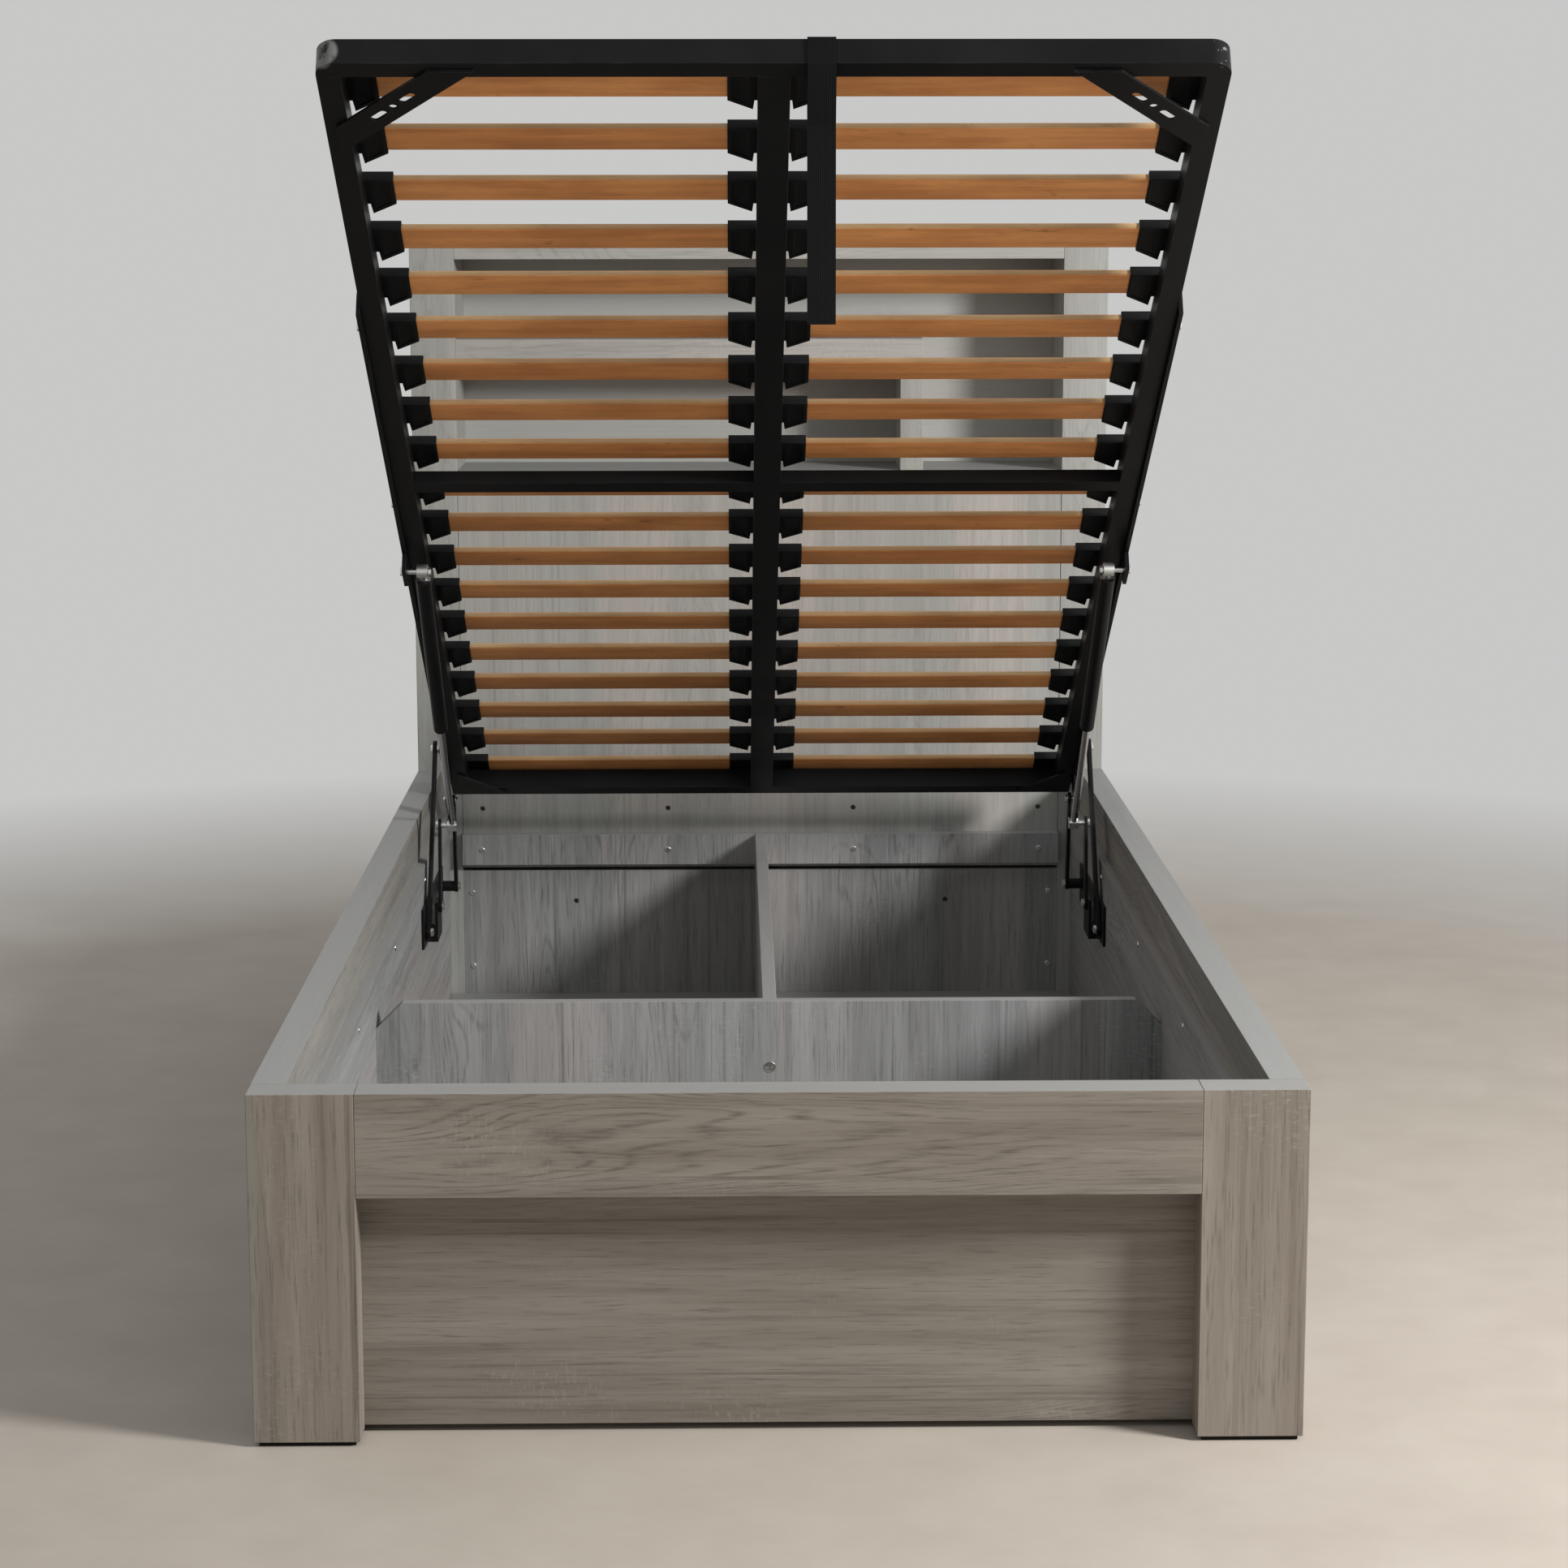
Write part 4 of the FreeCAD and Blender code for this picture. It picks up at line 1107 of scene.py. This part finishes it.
# %% One row of slat holders
HOLDER_LONG, HOLDER_HIGH, HOLDER_ROUND = 48 * MM, 12 * MM, 0.7 * MM
WING_SHORT, WING_STEP = 4.5 * MM, 1.5 * MM
MOUTH_RIM, POCKET_DEEP = 1.9 * MM, 26.5 * MM
UNDER_RIM, UNDER_DEEP = 5 * MM, 1.1 * MM
UPPER_RIM, UPPER_DEEP = 4 * MM, 0.8 * MM


def slat_holder(name, mouth, back, edge_at, wing, rows):
    way = 1 if back > mouth else -1
    wing_end = edge_at - way * WING_SHORT
    foot = FIRST_EDGE - (HOLDER_LONG - SLAT_WIDE) / 2 + rows[0] * SLAT_STEP
    head = foot + HOLDER_LONG
    top = TUBE_HIGH + HOLDER_HIGH
    holder = box_between(name, (min(mouth, back), foot, TUBE_HIGH),
                         (max(mouth, back), head, top))
    edit(holder)
    for cut in (wing_end, wing_end + way * WING_STEP):
        choose(holder, "faces", lambda f: True)
        bpy.ops.mesh.bisect(plane_co=(cut, 0, 0), plane_no=(1, 0, 0))
    choose(holder, "verts",
           lambda v: near(v.co.x, wing_end) and near(v.co.y, head))
    bpy.ops.transform.translate(value=(0, wing, 0))
    sunk(holder, lambda f: f.normal.x * way < -FACING, MOUTH_RIM,
         (way * POCKET_DEEP, 0, 0))
    for up, level, rim, deep in ((-1, TUBE_HIGH, UNDER_RIM, UNDER_DEEP),
                                 (1, top, UPPER_RIM, UPPER_DEEP)):
        sunk(holder, lambda f: f.normal.z * up > FACING
             and near(centre(f).z, level)
             and (wing_end - centre(f).x) * way > 0, rim, (0, 0, -up * deep))
    done()
    applied(holder, "BEVEL", width=HOLDER_ROUND, segments=2,
            limit_method="ANGLE", angle_limit=TRUE_EDGE)
    repeated(holder, len(rows), (0, SLAT_STEP, 0))
    applied(holder, "MIRROR")
    edit(holder)
    bpy.ops.mesh.select_all(action="SELECT")
    bpy.ops.mesh.normals_make_consistent(inside=False)
    done()
    smooth(holder, 35)
    apply_place(holder, PLATFORM)
    holder.data.materials.append(plastic)
    return holder


print("holder:", HOLDER_LONG, "long", HOLDER_HIGH, "high")

# %% [markdown]
# ### Four rows of holders
#
# The outer holders clip on the side tubes and the inner ones on the centre
# beam. Those of the last slat have a shorter wing, because the tube at the
# head leaves less room.

# %% All slat holders
TUBE_IN, BEAM_HALF = 450 * MM, 17 * MM
MOUTH_REACH, OUTER_BACK, INNER_BACK = 32 * MM, 22 * MM, 15 * MM
OUTER_WING, INNER_WING, LAST_WING = 20 * MM, 17 * MM, 12 * MM

holder_parts = []
for rows, outer_wing, inner_wing in (
        (range(SLAT_COUNT - 1), OUTER_WING, INNER_WING),
        ((SLAT_COUNT - 1,), LAST_WING, LAST_WING)):
    holder_parts.append(slat_holder(
        "outer_holders", TUBE_IN - MOUTH_REACH, TUBE_IN + OUTER_BACK, TUBE_IN,
        outer_wing, rows))
    holder_parts.append(slat_holder(
        "inner_holders", BEAM_HALF + MOUTH_REACH, BEAM_HALF - INNER_BACK,
        BEAM_HALF, inner_wing, rows))
holders = named(joined(*holder_parts), "slat_pockets")
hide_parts("slat_holders")
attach(holders, "platform")
print("holders:", 4 * SLAT_COUNT, "faces:", len(holders.data.polygons))

# %% [markdown]
# ## Where the fasteners sit
#
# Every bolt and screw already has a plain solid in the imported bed, and its
# finer shape must sit in exactly that place. The solid could be retyped as
# numbers; measuring it is safer. Triangles that share corners belong to one
# fastener, and the faces round its sides tell shank from head.

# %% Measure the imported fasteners
GRID, FLAT_MOST = 0.01 * MM, 0.1 * MM


def fasteners(name):
    """Each fastener of a node: axis, middle and (from, to, radius) rings."""
    mesh = nodes[name].data
    spots = [tuple(round(c / GRID) for c in v.co) for v in mesh.vertices]
    leader = {spot: spot for spot in spots}

    def first_of(spot):
        while leader[spot] != spot:
            spot = leader[spot]
        return spot

    for face in mesh.polygons:
        head = first_of(spots[face.vertices[0]])
        for index in face.vertices[1:]:
            leader[first_of(spots[index])] = head
    solids = {}
    for face in mesh.polygons:
        solids.setdefault(first_of(spots[face.vertices[0]]), []).append(
            [mesh.vertices[i].co for i in face.vertices])
    return [measured(faces) for faces in solids.values()]


def measured(faces):
    low, high = [Vector([pick(p[i] for face in faces for p in face)
                         for i in range(3)]) for pick in (min, max)]
    middle, size = (low + high) / 2, high - low
    axis = min(range(3), key=lambda i: abs(size[i - 1] - size[i - 2]))
    rings = set()
    for face in faces:
        start, end = [pick(p[axis] for p in face) for pick in (min, max)]
        if end - start > FLAT_MOST:
            reach = max(math.hypot(p[axis - 1] - middle[axis - 1],
                                   p[axis - 2] - middle[axis - 2])
                        for p in face)
            rings.add((round(start, 5), round(end, 5), round(reach, 4)))
    return axis, middle, sorted(rings)


def standing(axis, middle, start, way):
    """A matrix that stands a shape drawn along Z on a point of an axis."""
    base = middle.copy()
    base[axis] = start
    aim = Vector([way if i == axis else 0 for i in range(3)])
    return Matrix.Translation(base) @ aim.to_track_quat(
        "Z", "Y").to_matrix().to_4x4()


print("bolts:", len(fasteners("lift_bar_bolts")),
      "screws:", len(fasteners("wood_screws")))

# %% [markdown]
# ## Bolts and pivots
#
# The linkage turns on zinc bolts: a washer, a six-sided head with its
# corners taken off, and a plain shank with a chamfered end. A turned ring
# keeps a link off the tube where two parts pass each other. The head is a
# six-sided cylinder whose top is bevelled and dished; each bolt is put
# together from its measured rings.

# %% Turned bars and hexagon heads
WASHER, WASHER_MORE, WASHER_CHAMFER = 0.9 * MM, 0.7 * MM, 0.2 * MM
CORNERS_OFF, DISH_RIM, DISH = 0.55 * MM, 0.8 * MM, 0.35 * MM


def turned(name, radius, length, chamfer):
    """A round bar along Z from the origin with chamfered ends."""
    bar = begin(name, bpy.ops.mesh.primitive_cylinder_add, vertices=24,
                radius=radius, depth=length, location=(0, 0, length / 2))
    edit(bar)
    eased(bar, lambda e: near(e.verts[0].co.z, e.verts[1].co.z), chamfer, 1)
    done()
    return bar


def lies_at(edge, height):
    return all(near(v.co.z, height) for v in edge.verts)


def hex_head(radius, height):
    """A washer and a six-sided head, standing on the origin."""
    head = begin("hex_head", bpy.ops.mesh.primitive_cylinder_add, vertices=6,
                 radius=radius - WASHER_MORE, depth=height - WASHER,
                 location=(0, 0, (height + WASHER) / 2))
    edit(head)
    eased(head, lambda e: lies_at(e, height), CORNERS_OFF, 2)
    sunk(head, lambda f: near(centre(f).z, height) and f.normal.z > FACING,
         DISH_RIM, (0, 0, -DISH))
    done()
    return joined(head, turned("washer", radius, WASHER, WASHER_CHAMFER))


print("washer:", WASHER)

# %% [markdown]
# ### Sets of bolts
#
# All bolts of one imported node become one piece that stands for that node.

# %% Bolts and pivots
SHANK_MOST, BOLT_CHAMFER, RING_CHAMFER = 5 * MM, 0.4 * MM, 0.3 * MM


def zinc_set(pieces, name, degrees):
    """Fasteners joined into one named zinc piece."""
    group = named(joined(*pieces), name)
    smooth(group, degrees)
    group.data.materials.append(zinc)
    print(name, "faces:", len(group.data.polygons))
    return group


def bolt(axis, middle, rings):
    """One bolt, put together from its measured rings."""
    low, high = rings[0][0], max(ring[1] for ring in rings)
    pieces = []
    for start, end, radius in rings:
        way, foot = 1, start
        if radius < SHANK_MOST:
            made = turned("shank", radius, end - start, BOLT_CHAMFER)
        elif start == low or end == high:
            made = hex_head(radius, end - start)
            if end != high:
                way, foot = -1, end
        else:
            made = turned("ring", radius, end - start, RING_CHAMFER)
        apply_place(made, standing(axis, middle, foot, way))
        pieces.append(made)
    return joined(*pieces)


def bolt_set(name, node, body):
    group = zinc_set([bolt(*found) for found in fasteners(node)], name, 28)
    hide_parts(node)
    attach(group, body)


bolt_set("bar_bolts", "lift_bar_bolts", "platform")
bolt_set("platform_pivots", "platform_pivot_bolts", "platform")
bolt_set("base_pivots", "base_pivot_bolts", "bed_box")
bolt_set("rear_link_pivots", "rear_link_bolts", "rear_links")
bolt_set("strut_foot_pivots", "strut_foot_bolts", "strut_levers")

# %% [markdown]
# ## Screws and the cam
#
# Pan-head screws hold the ledge, the battens and the base bars, and one cam
# sits in the front divider. Both are low domes with a cross for the driver.
# The dome is a short cylinder with a rounded rim. The cross is cut by a
# boolean with two crossed bars, once, and the result is copied.

# %% Screws and the cam
CROSS_REACH, CROSS_FLOOR = 0.62, 0.6
SCREW_CHAMFER = 0.5 * MM


def cross_head(radius, height, rim, arm):
    """A low domed head with a cross cut into its top."""
    head = begin("cross_head", bpy.ops.mesh.primitive_cylinder_add,
                 vertices=20, radius=radius, depth=height,
                 location=(0, 0, height / 2))
    edit(head)
    eased(head, lambda e: lies_at(e, height), rim, 3)
    done()
    long, wide = radius * CROSS_REACH, arm / 2
    deep, above = height * CROSS_FLOOR, 2 * height
    cutter = joined(
        box_between("cross", (-long, -wide, deep), (long, wide, above)),
        box_between("bar", (-wide, -long, deep), (wide, long, above)))
    applied(head, "BOOLEAN", operation="DIFFERENCE", solver="EXACT",
            use_self=True, object=cutter)
    bpy.data.objects.remove(cutter)
    return head


def screw_set(name, node, rim, arm):
    pieces, master = [], None
    for axis, middle, rings in fasteners(node):
        start, end, radius = max(rings, key=lambda ring: ring[2])
        low = min(ring[0] for ring in rings)
        faces_low = start == low if len(rings) > 1 else axis == 1
        way, foot = (-1, end) if faces_low else (1, start)
        if master is None:
            master = cross_head(radius, end - start, rim, arm)
        pieces.append(copied(master, standing(axis, middle, foot, way)))
        for begin_at, end_at, thin in rings:
            if thin < radius:
                shank = turned("shank", thin, end_at - begin_at,
                               SCREW_CHAMFER)
                apply_place(shank, standing(axis, middle, begin_at, 1))
                pieces.append(shank)
    bpy.data.objects.remove(master)
    group = zinc_set(pieces, name, 30)
    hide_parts(node)
    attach(group, "bed_box")


screw_set("pan_screws", "wood_screws", 0.9 * MM, 1.1 * MM)
screw_set("cross_cam", "divider_cam", 0.5 * MM, 1.8 * MM)

# %% [markdown]
# ## Webbing finish
#
# The pull strap is woven polyester tape. Its weave runs with the tape, so
# the finish reads the strap's own UV map, which is laid out in metres: ribs
# along the length, crossed by the finer weft.

# %% Webbing finish
RIB, WEFT = 2.0 * MM, 1.3 * MM
TAPE_DARK, TAPE_LIGHT = (0.002, 0.002, 0.0022), (0.007, 0.007, 0.0075)
TAPE_GRIT, GRIT_PART, TAPE_CUT = 2500.0, 1.5, (-0.8, 2.2)

webbing, web_tree, web_shader = new_finish("webbing")
web_uv = node_in(web_tree, "ShaderNodeUVMap", {"uv_map": "tape"})
web_place = xyz(web_tree, web_uv.outputs[0])
rib = sums(web_tree, "SINE",
           times(web_tree, web_place["X"], 2 * math.pi / RIB))
lean = times(web_tree, web_place["X"], WEFT / RIB)
weft = sums(web_tree, "SINE", times(
    web_tree, sums(web_tree, "ADD", web_place["Y"], lean),
    2 * math.pi / WEFT))
weave = sums(web_tree, "MULTIPLY_ADD", weft, 0.5)
web_tree.links.new(rib, weave.node.inputs[2])
web_cloud = grouped(web_tree, "uneven_gloss", object_vector(web_tree),
                    Grit=TAPE_GRIT)
web_tone = sums(web_tree, "ADD", weave,
                times(web_tree, web_cloud["Grit"], GRIT_PART))
web_tree.links.new(mixed(web_tree, band(web_tree, web_tone, *TAPE_CUT),
                         TAPE_DARK, TAPE_LIGHT),
                   web_shader.inputs["Base Color"])
web_tree.links.new(band(web_tree, web_cloud["Cloud"], 0.3, 0.7, 0.66, 0.82),
                   web_shader.inputs["Roughness"])
bumped(web_tree, web_shader, weave, 0.5, 0.25 * MM)
web_shader.inputs["Specular IOR Level"].default_value = 0.10
print("weave:", RIB, "by", WEFT)

# %% [markdown]
# ## Pull strap
#
# The strap is one length of tape folded over the foot tube and sewn to
# itself below it, so that two layers hang together. Cloth simulation would
# lose such a narrow band, so it is drawn directly. First comes its line, seen
# from the side: up the front of the tube, over it, and down again behind.

# %% Line of the pull strap
STRAP_LEFT, STRAP_WIDE, STRAP_THICK = 34 * MM, 30 * MM, 1.8 * MM
STRAP_HANG, STRAP_MEET, STRAP_OFF = 255 * MM, 50 * MM, 1.5 * MM
HALF_GAP, FRONT_DROP, FOLD_ROUND = 1.05 * MM, 0.5 * MM, 1.2 * MM
TUBE_WIDE = 25 * MM


def tube_corner(back, up):
    return PLATFORM @ Vector((0, back - FRAME_LONG, up))


front, top = tube_corner(0, 0), tube_corner(0, TUBE_HIGH)
rear, low = tube_corner(TUBE_WIDE, TUBE_HIGH), tube_corner(TUBE_WIDE, 0)
tape_line = [
    (low.y - HALF_GAP, low.z - STRAP_HANG),
    (low.y - HALF_GAP, low.z - STRAP_MEET),
    (front.y - STRAP_OFF, front.z - FRONT_DROP),
    (top.y - STRAP_OFF, top.z + STRAP_OFF),
    (rear.y + STRAP_OFF, rear.z + STRAP_OFF / 2),
    (low.y + HALF_GAP, low.z - STRAP_MEET),
    (low.y + HALF_GAP, low.z - STRAP_HANG),
]
lengths = [0.0]
for a, b in zip(tape_line, tape_line[1:]):
    lengths.append(lengths[-1] + math.dist(a, b))
print("strap length:", round(lengths[-1], 3))

# %% [markdown]
# ### The tape itself
#
# One edge of a plane is extruded from fold to fold, the folds are rounded
# with a bevel, and a thin solidify gives the tape its thickness. The UV map
# is laid before the bevel, while every corner still lies on the line.

# %% Pull strap
strap = begin("webbing_strap", bpy.ops.mesh.primitive_plane_add,
              size=STRAP_WIDE, location=(STRAP_LEFT + STRAP_WIDE / 2, 0, 0))
edit(strap)
choose(strap, "verts", lambda v: v.co.y > 0)
bpy.ops.mesh.delete(type="VERT")
choose(strap, "verts", lambda v: True)
bpy.ops.transform.translate(
    value=(0, tape_line[0][0] + STRAP_WIDE / 2, tape_line[0][1]))
bpy.ops.mesh.select_mode(type="EDGE")
bpy.ops.mesh.select_all(action="SELECT")
for a, b in zip(tape_line, tape_line[1:]):
    extruded((0, b[0] - a[0], b[1] - a[1]))
done()
tape = strap.data.uv_layers.new(name="tape")
for loop in strap.data.loops:
    spot = strap.data.vertices[loop.vertex_index].co
    which = min(range(len(tape_line)), key=lambda i: math.dist(
        tape_line[i], (spot.y, spot.z)))
    tape.data[loop.index].uv = (spot.x - STRAP_LEFT, lengths[which])
edit(strap)
eased(strap, lambda e: near(e.verts[0].co.z, e.verts[1].co.z)
      and len(e.link_faces) == 2, FOLD_ROUND, 3)
done()
applied(strap, "SOLIDIFY", thickness=STRAP_THICK, offset=0.0)
smooth(strap, 50)
strap.data.materials.append(webbing)
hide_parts("pull_strap")
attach(strap, "platform")
print("strap faces:", len(strap.data.polygons))
